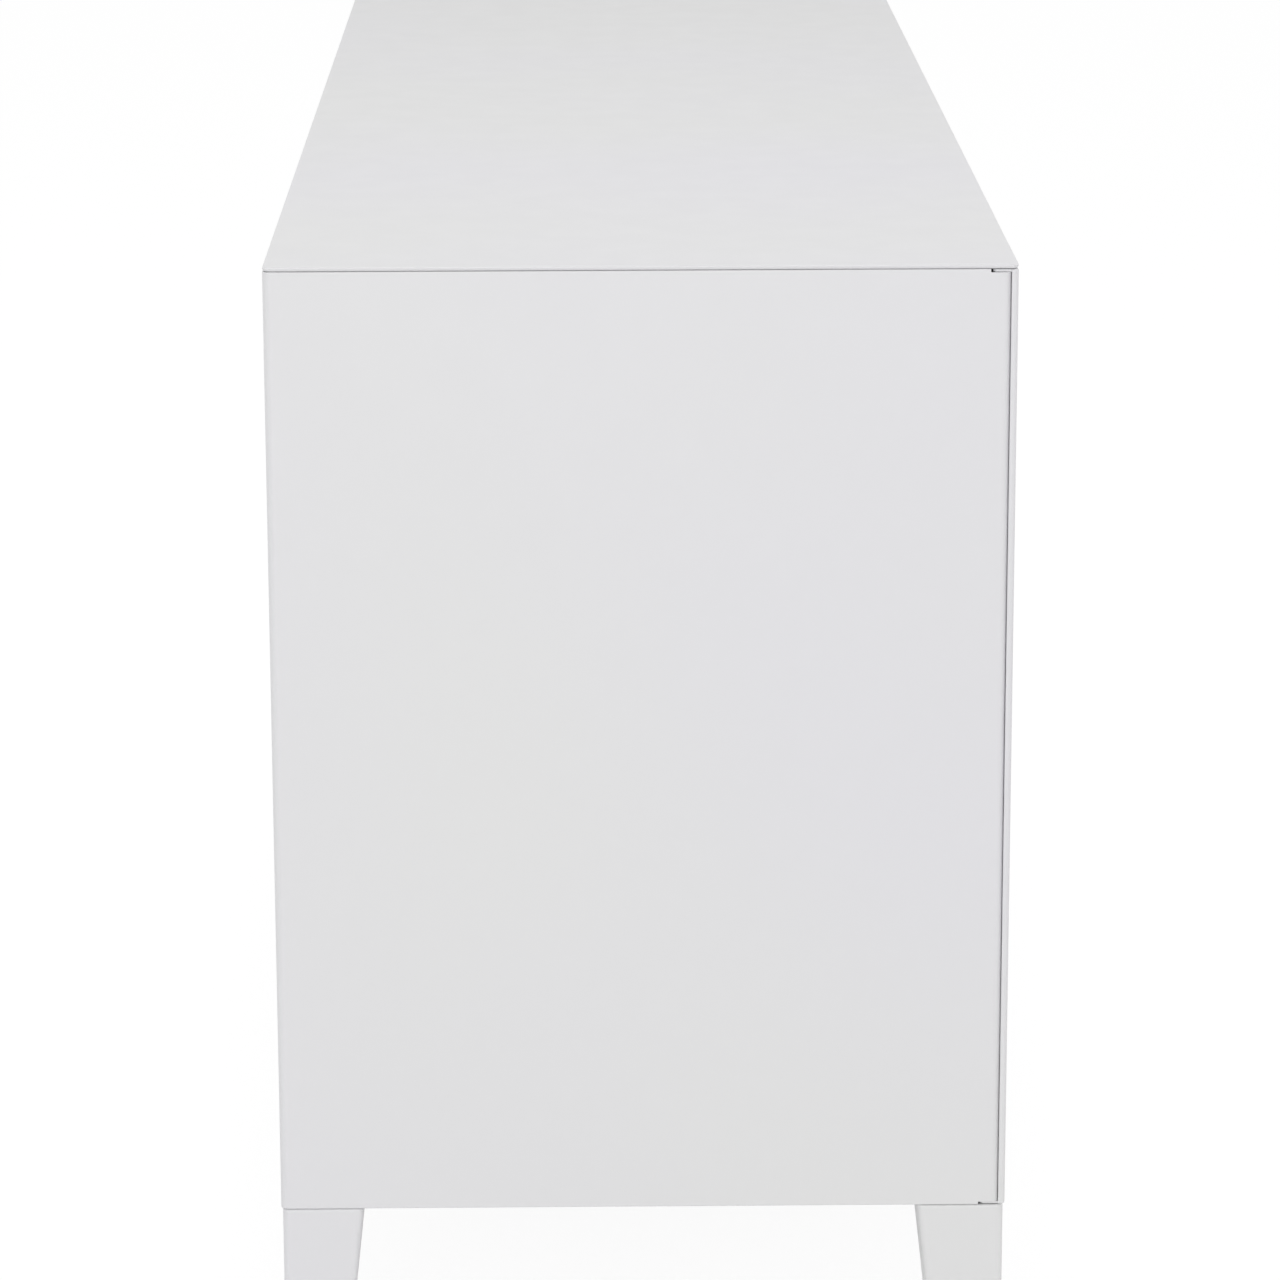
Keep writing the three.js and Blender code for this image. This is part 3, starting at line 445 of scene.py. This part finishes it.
def lies_at(edge, axis, place):
    """Whether both ends of an edge lie on one plane across an axis."""
    return all(abs(vert.co[axis] - place) < NEAR for vert in edge.verts)


def between(node, *sides):
    """A test for edges where two of these sides of the node's box meet, such as "-x" and "+z"."""
    low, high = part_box(node)
    planes = []
    for side in sides:
        axis = "xyz".index(side[1])
        planes.append((axis, (high if side[0] == "+" else low)[axis]))

    def test(edge):
        return sum(lies_at(edge, axis, place) for axis, place in planes) >= 2

    return test


def outer_rim(node):
    """A test for the edges round a hollow upright piece's top and bottom, on its outer side."""
    low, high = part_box(node)
    middle = (low + high) / 2

    def test(edge):
        if not any(lies_at(edge, Z, level) for level in (low.z, high.z)):
            return False
        here = (edge.verts[0].co + edge.verts[1].co) / 2
        outward = Vector((here.x - middle.x, here.y - middle.y, 0))
        walls = (face.normal for face in edge.link_faces if abs(face.normal.z) < STEEP)
        return any(normal.dot(outward) > 0 for normal in walls)

    return test


def door_rim(node):
    """A test for the edges round a closed-up door's top and bottom, but for those at its back."""
    low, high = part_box(node)
    levels = (low.z, high.z + NOTCH_CLOSE)
    back = low.y + DOOR_THICKNESS + DOOR_CLOSE

    def test(edge):
        places = [vert.co.y for vert in edge.verts]
        on_rim = min(places) < back - NEAR and max(places) < back + NEAR
        return on_rim and any(lies_at(edge, Z, level) for level in levels)

    return test


# Turned pieces
def profile_of(node, axis):
    """A turned CAD node's outline, as vectors (radius, along), and whether it is a closed loop."""
    bm = cad_mesh(node)
    low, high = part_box(node)
    middle = (low + high) / 2
    one, other = (k for k in range(3) if k != axis)
    links = {}
    for edge in bm.edges:
        offsets, keys = [], []
        for vert in edge.verts:
            offset = Vector((vert.co[one] - middle[one], vert.co[other] - middle[other]))
            offsets.append(offset)
            keys.append((round(offset.length, KEY_DIGITS), round(vert.co[axis], KEY_DIGITS)))
        slip = abs(offsets[0].cross(offsets[1]))
        in_line = slip <= SLANT * offsets[0].length * offsets[1].length + TINY
        if keys[0] != keys[1] and in_line and offsets[0].dot(offsets[1]) > -TINY:
            links.setdefault(keys[0], set()).add(keys[1])
            links.setdefault(keys[1], set()).add(keys[0])
    bm.free()
    ends = sorted(key for key, near in links.items() if len(near) == 1)
    path = [ends[0] if ends else sorted(links)[0]]
    while True:
        ahead = sorted(key for key in links[path[-1]] if key not in path)
        if not ahead:
            break
        path.append(ahead[0])
    return [Vector(key) for key in path], not ends


def rounded(profile, radius, closed):
    """An outline with corners rounded by about this radius, or less where its sides are short."""
    path = []
    for index, here in enumerate(profile):
        if not closed and index in (0, len(profile) - 1):
            path.append(here)
            continue
        back = profile[index - 1] - here
        ahead = profile[(index + 1) % len(profile)] - here
        turn = math.pi - back.angle(ahead)
        if turn < SLIGHT:
            path.append(here)
            continue
        room = SIDE_SHARE * min(back.length, ahead.length)
        reach = min(radius * math.tan(turn / 2), room)
        start = here + back.normalized() * reach
        end = here + ahead.normalized() * reach
        for step in range(ROUND_STEPS + 1):
            s = step / ROUND_STEPS
            path.append(start * (1 - s) ** 2 + here * (2 * s * (1 - s)) + end * s**2)
    return path


def spun(profile, closed, axis, middle, sides, shape=None):
    """The body that an outline sweeps round an axis; shape(radius, angle) may change the radius."""
    one, other = (k for k in range(3) if k != axis)
    bm = bmesh.new()
    rings = []
    for radius, along in profile:
        ring = []
        for index in range(1 if radius < NEAR else sides):
            angle = 2 * math.pi * index / sides
            reach = shape(radius, angle) if shape else radius
            place = Vector((0, 0, 0))
            place[axis] = along
            place[one] = middle[one] + (reach * math.cos(angle) if radius >= NEAR else 0)
            place[other] = middle[other] + (reach * math.sin(angle) if radius >= NEAR else 0)
            ring.append(bm.verts.new(place))
        rings.append(ring)
    pairs = list(zip(rings, rings[1:]))
    if closed:
        pairs.append((rings[-1], rings[0]))
    for ring, after in pairs:
        for index in range(sides):
            ahead = index + 1
            loop = [ring[index % len(ring)], ring[ahead % len(ring)]]
            loop += [after[ahead % len(after)], after[index % len(after)]]
            corners = list(dict.fromkeys(loop))
            if len(corners) > 2:
                bm.faces.new(corners)
    bmesh.ops.recalc_face_normals(bm, faces=bm.faces)
    return bm


def lathed(node, axis, corner, sides, material=None, edit=None):
    """The turned CAD node made afresh: its outline with rounded corners, spun in fine steps."""
    low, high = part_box(node)
    profile, closed = profile_of(node, axis)
    if edit:
        profile = edit(profile)
    bm = spun(rounded(profile, corner, closed), closed, axis, (low + high) / 2, sides)
    piece = stand_in(node, bm, material)
    settle(piece)
    return piece


def skin(bm, loops):
    """Joins each loop of vertices to the next by walls, and closes both ends."""
    for loop, after in zip(loops, loops[1:]):
        for index in range(len(loop)):
            ahead = (index + 1) % len(loop)
            bm.faces.new((loop[index], loop[ahead], after[ahead], after[index]))
    bm.faces.new(loops[0])
    bm.faces.new(loops[-1])
    bmesh.ops.recalc_face_normals(bm, faces=bm.faces)


def block(low, high, radius):
    """A box with rounded edges."""
    bm = bmesh.new()
    bmesh.ops.create_cube(bm, size=1.0)
    low, high = Vector(low), Vector(high)
    for vert in bm.verts:
        vert.co = Vector((low[k] + (high[k] - low[k]) * (vert.co[k] + 0.5) for k in range(3)))
    bmesh.ops.bevel(
        bm,
        geom=bm.edges[:],
        offset=radius,
        segments=BEVEL_STEPS,
        profile=0.5,
        affect="EDGES",
        clamp_overlap=True,
    )
    return bm


def carve(piece, *cutters):
    """Cuts bodies out of a piece."""
    for bm in cutters:
        cutter = add_object("cutter", finished(bm, "cutter"))
        cut = piece.modifiers.new("cut", "BOOLEAN")
        cut.operation = "DIFFERENCE"
        cut.solver = "EXACT"
        cut.object = cutter
        apply_modifiers(piece)
        bpy.data.objects.remove(cutter)
    merged = bmesh.new()
    merged.from_mesh(piece.data)
    merge_flat_faces(merged)
    merged.to_mesh(piece.data)
    merged.free()
    piece.data.set_sharp_from_angle(angle=CARVED_SHARP)
    settle(piece)


def prism(sides, radius, axis, middle, start, end):
    """A regular prism along an axis, to carve with."""
    corners = ((0, start), (radius, start), (radius, end), (0, end))
    return spun([Vector(corner) for corner in corners], False, axis, middle, sides)


def screw_heads(name, body, places, facing, radius, height):
    """Pan-head screws with a cross recess, each seated at its place and facing one way."""
    dome = [Vector((across * radius, up * height)) for across, up in SCREW_DOME]
    head = spun(dome, False, Z, Vector((0, 0, 0)), SCREW_SIDES)
    piece = make_piece(name, head, body, "zinc_steel")
    reach, half, floor = CROSS_REACH * radius, CROSS_HALF * radius, CROSS_FLOOR * height
    edge = CROSS_EDGE * radius
    carve(
        piece,
        block((-reach, -half, floor), (reach, half, 2 * height), edge),
        block((-half, -reach, floor), (half, reach, 2 * height), edge),
    )
    turn = facing.to_track_quat("Z", "Y").to_matrix().to_4x4()
    bm = bmesh.new()
    for index, place in enumerate(places):
        spin = Matrix.Rotation(index * CROSS_SPIN, 4, "Z")
        copy = piece.data.copy()
        copy.transform(Matrix.Translation(place) @ turn @ spin)
        bm.from_mesh(copy)
        bpy.data.meshes.remove(copy)
    piece.data = finished(bm, name)
    shade(piece.data, FINISH["zinc_steel"])


# ---------------------------------------------------------------- sheet steel
def loop_at(bm, half, radius, middle, z):
    """A loop of vertices round a rectangle with rounded corners."""
    loop = []
    for turn, (right, back) in enumerate(((1, 1), (-1, 1), (-1, -1), (1, -1))):
        for step in range(CORNER_STEPS + 1):
            angle = QUARTER_TURN * (turn + step / CORNER_STEPS)
            x = middle.x + right * (half[0] - radius) + radius * math.cos(angle)
            y = middle.y + back * (half[1] - radius) + radius * math.sin(angle)
            loop.append(bm.verts.new((x, y, z)))
    return loop


def top_panel():
    """The top: a flat sheet whose rim is folded under in a rounded nose and a doubled hem."""
    low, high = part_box("top_panel")
    middle, half = (low + high) / 2, (high - low) / 2
    thickness = high.z - low.z
    nose = thickness - TOP_EDGE
    quarter = [QUARTER_TURN * step / ROUND_STEPS for step in range(ROUND_STEPS + 1)]
    arcs = [(TOP_EDGE * (1 - math.sin(a)), TOP_EDGE * (1 - math.cos(a))) for a in quarter]
    arcs += [(nose * (1 - math.cos(a)), TOP_EDGE + nose * math.sin(a)) for a in quarter[1:]]
    section = [(inset, drop, TOP_CORNER - inset) for inset, drop in arcs]
    section.append((HEM_WIDTH - HEM_EDGE, thickness, HEM_CORNER))
    section.append((HEM_WIDTH, thickness - HEM_EDGE, HEM_CORNER))
    section.append((HEM_WIDTH, TOP_SHEET, HEM_CORNER))
    bm = bmesh.new()
    loops = []
    for inset, drop, radius in section:
        loops.append(loop_at(bm, (half.x - inset, half.y - inset), radius, middle, high.z - drop))
    skin(bm, loops)
    settle(stand_in("top_panel", bm))


def closed_panel(side):
    """An edit that closes a side panel up to the top, and its notches to the hinge tabs."""
    panel_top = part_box(f"{side}_side_panel")[1].z
    door_low, door_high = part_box(f"{side}_door_skin")

    def edit(bm):
        shift_plane(bm, Z, panel_top, TOP_CLOSE)
        shift_plane(bm, Z, door_high.z - TAB_AND_GAP, NOTCH_CLOSE)
        shift_plane(bm, Z, door_low.z + TAB_AND_GAP, -NOTCH_CLOSE)

    return edit


def closed_door(side, sign):
    """An edit that closes a door up, widens its fold beside the hinges and sets its tabs in."""
    low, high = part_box(f"{side}_door_skin")
    corner_x = high.x if sign > 0 else low.x
    rim_back = low.y + DOOR_THICKNESS

    def edit(bm):
        for vert in bm.verts:
            inset = abs(vert.co.x - corner_x)
            if vert.co.y > rim_back - NEAR and NEAR < inset < TAB_RECESS:
                vert.co.x = corner_x - sign * TAB_RECESS
        shift_plane(bm, Y, rim_back, DOOR_CLOSE)
        shift_plane(bm, Z, high.z, NOTCH_CLOSE)
        for vert in bm.verts:
            across, along = vert.co.x - corner_x, vert.co.y - low.y
            if max(abs(across), along) < CAD_DOOR_FOLD + NEAR:
                vert.co.x = corner_x + across * DOOR_FOLD / CAD_DOOR_FOLD
                vert.co.y = low.y + along * DOOR_FOLD / CAD_DOOR_FOLD

    return edit


def sheet_pieces():
    refined("top_front_rail", SHEET_EDGE, between("top_front_rail", "-y", "+z"), BEND)
    refined("top_back_rail", SHEET_EDGE, between("top_back_rail", "+y", "+z"), BEND)
    refined("bottom_panel", SHEET_EDGE, between("bottom_panel", "-y", "+y", "-z"), BEND)
    refined("centre_post", SHEET_EDGE, between("centre_post", "-x", "+x", "-y"), BEND)
    refined("centre_divider", SHEET_EDGE)
    for side, inner in (("left", "+x"), ("right", "-x")):
        panel = f"{side}_side_panel"
        refined(panel, SHEET_EDGE, outer_rim(panel), PANEL_RIM, closed_panel(side))
        refined(f"{side}_back_panel", THIN_EDGE)
        refined(f"{side}_outlet_plate", THIN_EDGE)
        door = f"{side}_door_skin"
        refined(door, SHEET_EDGE, door_rim(door), DOOR_RIM, closed_door(side, SIDES[side]))
        liner = f"{side}_door_liner"
        refined(liner, THIN_EDGE, between(liner, "-x", "+x", "-z", "+z", "+y"), THIN_BEND)
        shelf = f"{side}_shelf"
        refined(shelf, THIN_EDGE, between(shelf, "-x", "+x", "-y", "+y", "+z"), THIN_BEND)
        for place in PLACES:
            upright = f"{side}_{place}_upright"
            refined(upright, THIN_EDGE, between(upright, inner, "-y", "+y"), BEND)
            refined(f"{side}_{place}_shelf_clip", SHEET_EDGE)
            leg = f"{side}_{place}_leg"
            refined(leg, SHEET_EDGE, outer_rim(leg), LEG_RIM)


# ---------------------------------------------------------------- hinges, catches and latch
def catch_poles(side, low, near, far, level):
    """The two steel plates either side of a catch's magnet, which the strike plate meets."""
    poles = bmesh.new()
    for rise in (-POLE_SPREAD, POLE_SPREAD):
        z = level + rise
        plate = block(
            (near.x + POLE_INSET, low.y - POLE_PROUD, z - POLE_THICKNESS / 2),
            (far.x - POLE_INSET, low.y + POLE_DEPTH, z + POLE_THICKNESS / 2),
            POLE_EDGE,
        )
        mesh = finished(plate, "plate")
        poles.from_mesh(mesh)
        bpy.data.meshes.remove(mesh)
    settle(make_piece(f"{side}_catch_poles", poles, "cabinet", "zinc_steel"))


def hinges_and_catches():
    for side, sign in SIDES.items():
        for place in ("upper", "lower"):
            refined(f"{side}_{place}_hinge_block", HINGE_BLOCK_EDGE)
            lathed(f"{side}_{place}_pivot_pin", Z, **PIVOT_PIN)
        strike, catch = f"{side}_strike_plate", f"{side}_magnetic_catch"
        refined(strike, STRIKE_EDGE)
        refined(catch, CATCH_EDGE)
        low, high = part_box(catch)
        near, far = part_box(strike)
        level = (low.z + high.z) / 2
        catch_poles(side, low, near, far, level)
        outer = high.x if sign > 0 else low.x
        places = []
        for shift in (-CATCH_SCREW_SPREAD, CATCH_SCREW_SPREAD):
            places.append(Vector((outer, (low.y + high.y) / 2 + shift, level)))
        outwards = Vector((sign, 0, 0))
        screw_heads(f"{side}_catch_screws", "cabinet", places, outwards, **CATCH_SCREW)
        seat = Vector(((near.x + far.x) / 2, far.y, level))
        screw_heads(f"{side}_strike_screw", BODY_OF[strike], [seat], BACKWARDS, **STRIKE_SCREW)


def dished(profile):
    """Sinks the middle of a knob's face a little inside its rim."""
    face = min(along for _, along in profile)
    rim = max(radius for radius, along in profile if along < face + NEAR)
    floor = face + DISH_DEPTH
    dish = [(0, floor), (rim - 2 * DISH_RIM, floor), (rim - DISH_RIM, face)]
    dish = [Vector(corner) for corner in dish]
    kept = [p for p in profile if p[0] > NEAR or p[1] > face + NEAR]
    return dish + kept if kept[0][1] < face + NEAR else kept + dish[::-1]


def knobs_and_latch():
    lathed("left_knob", Y, material=TURNED["left_knob"], edit=dished, **KNOB)
    refined("left_knob_nut", NUT_EDGE)
    lathed("latch_housing", Y, material=TURNED["latch_housing"], **KNOB)
    knob = lathed("latch_knob", Y, material=TURNED["latch_knob"], edit=dished, **KNOB)
    low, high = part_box("latch_knob")
    middle = (low + high) / 2
    near = (middle.x - SLOT_WIDTH / 2, low.y - PAST, middle.z - SLOT_LENGTH / 2)
    far = (middle.x + SLOT_WIDTH / 2, low.y + SLOT_DEPTH, middle.z + SLOT_LENGTH / 2)
    carve(knob, block(near, far, SLOT_EDGE))
    refined("latch_cam", CAM_EDGE)
    screw = lathed("latch_cam_screw", Y, **CAM_SCREW)
    low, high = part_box("latch_cam_screw")
    middle = (low + high) / 2
    arms = []
    for x, z in ((CAM_CROSS_REACH, CAM_CROSS_HALF), (CAM_CROSS_HALF, CAM_CROSS_REACH)):
        near = (middle.x - x, high.y - CAM_CROSS_DEPTH, middle.z - z)
        far = (middle.x + x, high.y + PAST, middle.z + z)
        arms.append(block(near, far, CAM_CROSS_EDGE))
    carve(screw, *arms)


# ---------------------------------------------------------------- legs, feet and small parts
def grip(radius, angle):
    """Shallow flutes round the rim of a foot, to turn it by."""
    if radius < FOOT_RADIUS - FOOT_CHAMFER:
        return radius
    share = (radius - FOOT_RADIUS + FOOT_CHAMFER) / FOOT_CHAMFER
    return radius - share * FLUTE_DEPTH * (0.5 + 0.5 * math.cos(FLUTES * angle))


def threaded(middle, radius, start, end):
    """A screw thread, as a rod whose radius rises and falls along a helix."""
    rows = math.ceil((end - start) / (THREAD_PITCH / THREAD_ROWS))
    bm = bmesh.new()
    rings = []
    for row in range(rows + 1):
        z = start + (end - start) * row / rows
        ring = []
        for index in range(THREAD_SIDES):
            angle = 2 * math.pi * index / THREAD_SIDES
            phase = (z / THREAD_PITCH - index / THREAD_SIDES) % 1
            rise = min(1, max(0, THREAD_SLOPE * abs(phase - 0.5) - THREAD_ROOT))
            lead = min(1, (end - z) / THREAD_PITCH)
            reach = radius - THREAD_DEPTH * (1 - rise * lead)
            x = middle.x + reach * math.cos(angle)
            y = middle.y + reach * math.sin(angle)
            ring.append(bm.verts.new((x, y, z)))
        rings.append(ring)
    skin(bm, rings)
    return bm


def foot(side, place):
    """A levelling foot: a fluted disc with a sunk sole and a groove round its threaded stem."""
    node = f"{side}_{place}_foot"
    low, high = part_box(node)
    middle = (low + high) / 2
    sole, top = low.z, low.z + FOOT_HEIGHT
    profile = [
        (0, sole + SOLE_DEPTH),
        (FOOT_RADIUS - SOLE_RIM - SOLE_SLOPE, sole + SOLE_DEPTH),
        (FOOT_RADIUS - SOLE_RIM, sole),
        (FOOT_RADIUS - SOLE_CHAMFER, sole),
        (FOOT_RADIUS, sole + SOLE_CHAMFER),
        (FOOT_RADIUS, top - FOOT_CHAMFER),
        (FOOT_RADIUS - FOOT_CHAMFER, top),
        (STEM_RADIUS + 2 * COLLAR_WIDTH, top),
        (STEM_RADIUS + COLLAR_WIDTH, top - COLLAR_DEPTH),
        (0, top - COLLAR_DEPTH),
    ]
    path = rounded([Vector(corner) for corner in profile], FOOT_EDGE, False)
    settle(stand_in(node, spun(path, False, Z, middle, FOOT_SIDES, grip)))
    stem = threaded(middle, STEM_RADIUS, top - STEM_SUNK, high.z)
    make_piece(f"{side}_{place}_foot_stem", stem, BODY_OF[node], "zinc_steel")


def leg_bolt(side, place):
    """A bolt with a hexagonal socket in its head."""
    node = f"{side}_{place}_leg_bolt"
    bolt = lathed(node, Z, **LEG_BOLT)
    low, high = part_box(node)
    floor, above = high.z - SOCKET_DEPTH, high.z + PAST
    carve(bolt, prism(SOCKET_SIDES, SOCKET_RADIUS, Z, (low + high) / 2, floor, above))


def legs_and_small_parts():
    for side in SIDES:
        for place in PLACES:
            foot(side, place)
            leg_bolt(side, place)
        lathed(f"{side}_cable_grommet", Y, **GROMMET)
    for place in PLACES:
        lathed(f"centre_{place}_shelf_pin", X, **SHELF_PIN)


def back_screws():
    """Screws that hold the back panels to the body, and the outlet plates to the back panels."""
    for side, sign in SIDES.items():
        low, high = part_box(f"{side}_back_panel")
        places = []
        for share in SHARES_ACROSS:
            for z in (low.z + SCREW_INSET, high.z - SCREW_INSET):
                places.append(Vector((low.x + (high.x - low.x) * share, high.y, z)))
        for share in SHARES_UP:
            places.append(Vector((sign * SCREW_INSET, high.y, low.z + (high.z - low.z) * share)))
        screw_heads(f"{side}_back_screws", "cabinet", places, BACKWARDS, **BACK_SCREW)
        plate_low, plate_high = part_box(f"{side}_outlet_plate")
        places = []
        for x in (plate_low.x + OUTLET_SCREW_INSET, plate_high.x - OUTLET_SCREW_INSET):
            for z in (plate_low.z + OUTLET_SCREW_INSET, plate_high.z - OUTLET_SCREW_INSET):
                places.append(Vector((x, high.y, z)))
        screw_heads(f"{side}_outlet_screws", "cabinet", places, BACKWARDS, **OUTLET_SCREW)


top_panel()
sheet_pieces()
hinges_and_catches()
knobs_and_latch()
legs_and_small_parts()
back_screws()


# ---------------------------------------------------------------- stage, light and camera
def grey(level):
    return (level, level, level, 1.0)


def shader_node(tree, kind, **values):
    """Adds a shader node, and sets its inputs by name."""
    node = tree.nodes.new(kind)
    for key, value in values.items():
        node.inputs[key].default_value = value
    return node


def is_seen(tree):
    """1 for camera, glossy and transmission rays, so that they all meet the white background."""
    path = tree.nodes.new("ShaderNodeLightPath")
    seen = path.outputs["Is Camera Ray"]
    for ray in ("Is Glossy Ray", "Is Transmission Ray"):
        either = tree.nodes.new("ShaderNodeMath")
        either.operation = "MAXIMUM"
        tree.links.new(seen, either.inputs[0])
        tree.links.new(path.outputs[ray], either.inputs[1])
        seen = either.outputs[0]
    return seen


def show(tree, real, seen, output):
    """Sends one shader to the rays that light the object, and another to those that see it."""
    mix = tree.nodes.new("ShaderNodeMixShader")
    tree.links.new(is_seen(tree), mix.inputs["Fac"])
    tree.links.new(real.outputs[0], mix.inputs[1])
    tree.links.new(seen.outputs[0], mix.inputs[2])
    tree.links.new(mix.outputs[0], tree.nodes[output].inputs["Surface"])


def make_world():
    world = bpy.data.worlds.new("studio")
    world.use_nodes = True
    bpy.context.scene.world = world
    tree = world.node_tree
    sky = tree.nodes["Background"]
    sky.inputs["Strength"].default_value = SKY_LEVEL
    sky.inputs["Color"].default_value = grey(1.0)
    white = shader_node(tree, "ShaderNodeBackground", Color=grey(1.0), Strength=1.0)
    show(tree, sky, white, "World Output")


def make_floor():
    """A white floor that glows to the camera, but for the part that takes the object's shadow."""
    mesh = bpy.data.meshes.new("floor")
    half = FLOOR_SIZE / 2
    corners = [(-half, -half, 0), (half, -half, 0), (half, half, 0), (-half, half, 0)]
    mesh.from_pydata(corners, [], [(0, 1, 2, 3)])
    floor = add_object("floor", mesh)
    material = bpy.data.materials.new("floor")
    material.use_nodes = True
    tree = material.node_tree
    tree.nodes.remove(tree.nodes["Principled BSDF"])
    real = shader_node(tree, "ShaderNodeBsdfDiffuse", Color=grey(FLOOR_ALBEDO))
    veil = shader_node(tree, "ShaderNodeBsdfDiffuse", Color=grey(SHADOW_SHARE))
    glow_level = 1.0 - SHADOW_SHARE * FLOOR_LIGHT
    glow = shader_node(tree, "ShaderNodeEmission", Strength=glow_level)
    seen = tree.nodes.new("ShaderNodeAddShader")
    tree.links.new(veil.outputs[0], seen.inputs[0])
    tree.links.new(glow.outputs[0], seen.inputs[1])
    show(tree, real, seen, "Material Output")
    mesh.materials.append(material)


def make_lamps():
    for name, place, size, power in LAMPS:
        lamp = bpy.data.lights.new(name, "AREA")
        lamp.shape = "SQUARE"
        lamp.size = size
        lamp.energy = power
        holder = add_object(name, lamp)
        holder.location = place
        beam = LAMP_TARGET - Vector(place)
        holder.rotation_euler = beam.to_track_quat("-Z", "Y").to_euler()
        holder.visible_camera = False


def make_camera():
    low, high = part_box("top_panel")
    camera = bpy.data.cameras.new("camera")
    camera.lens = CAMERA_LENS
    camera.clip_end = CAMERA_RANGE
    ahead = Vector((
        math.cos(CAMERA_PITCH) * math.cos(CAMERA_YAW),
        math.cos(CAMERA_PITCH) * math.sin(CAMERA_YAW),
        -math.sin(CAMERA_PITCH),
    ))
    level = ahead.cross(Vector((0, 0, 1))).normalized()
    upright = level.cross(ahead)
    right = level * math.cos(CAMERA_ROLL) + upright * math.sin(CAMERA_ROLL)
    up = upright * math.cos(CAMERA_ROLL) - level * math.sin(CAMERA_ROLL)
    place = Vector((
        low.x - CAMERA_DISTANCE,
        (low.y + high.y) / 2 + CAMERA_ASIDE,
        high.z + CAMERA_RISE,
    ))
    turn = Matrix((right, up, -ahead)).transposed().to_4x4()
    holder = add_object("camera", camera)
    holder.matrix_world = Matrix.Translation(place) @ turn
    bpy.context.scene.camera = holder


make_world()
make_floor()
make_lamps()
make_camera()
bpy.context.scene.view_settings.view_transform = "Standard"
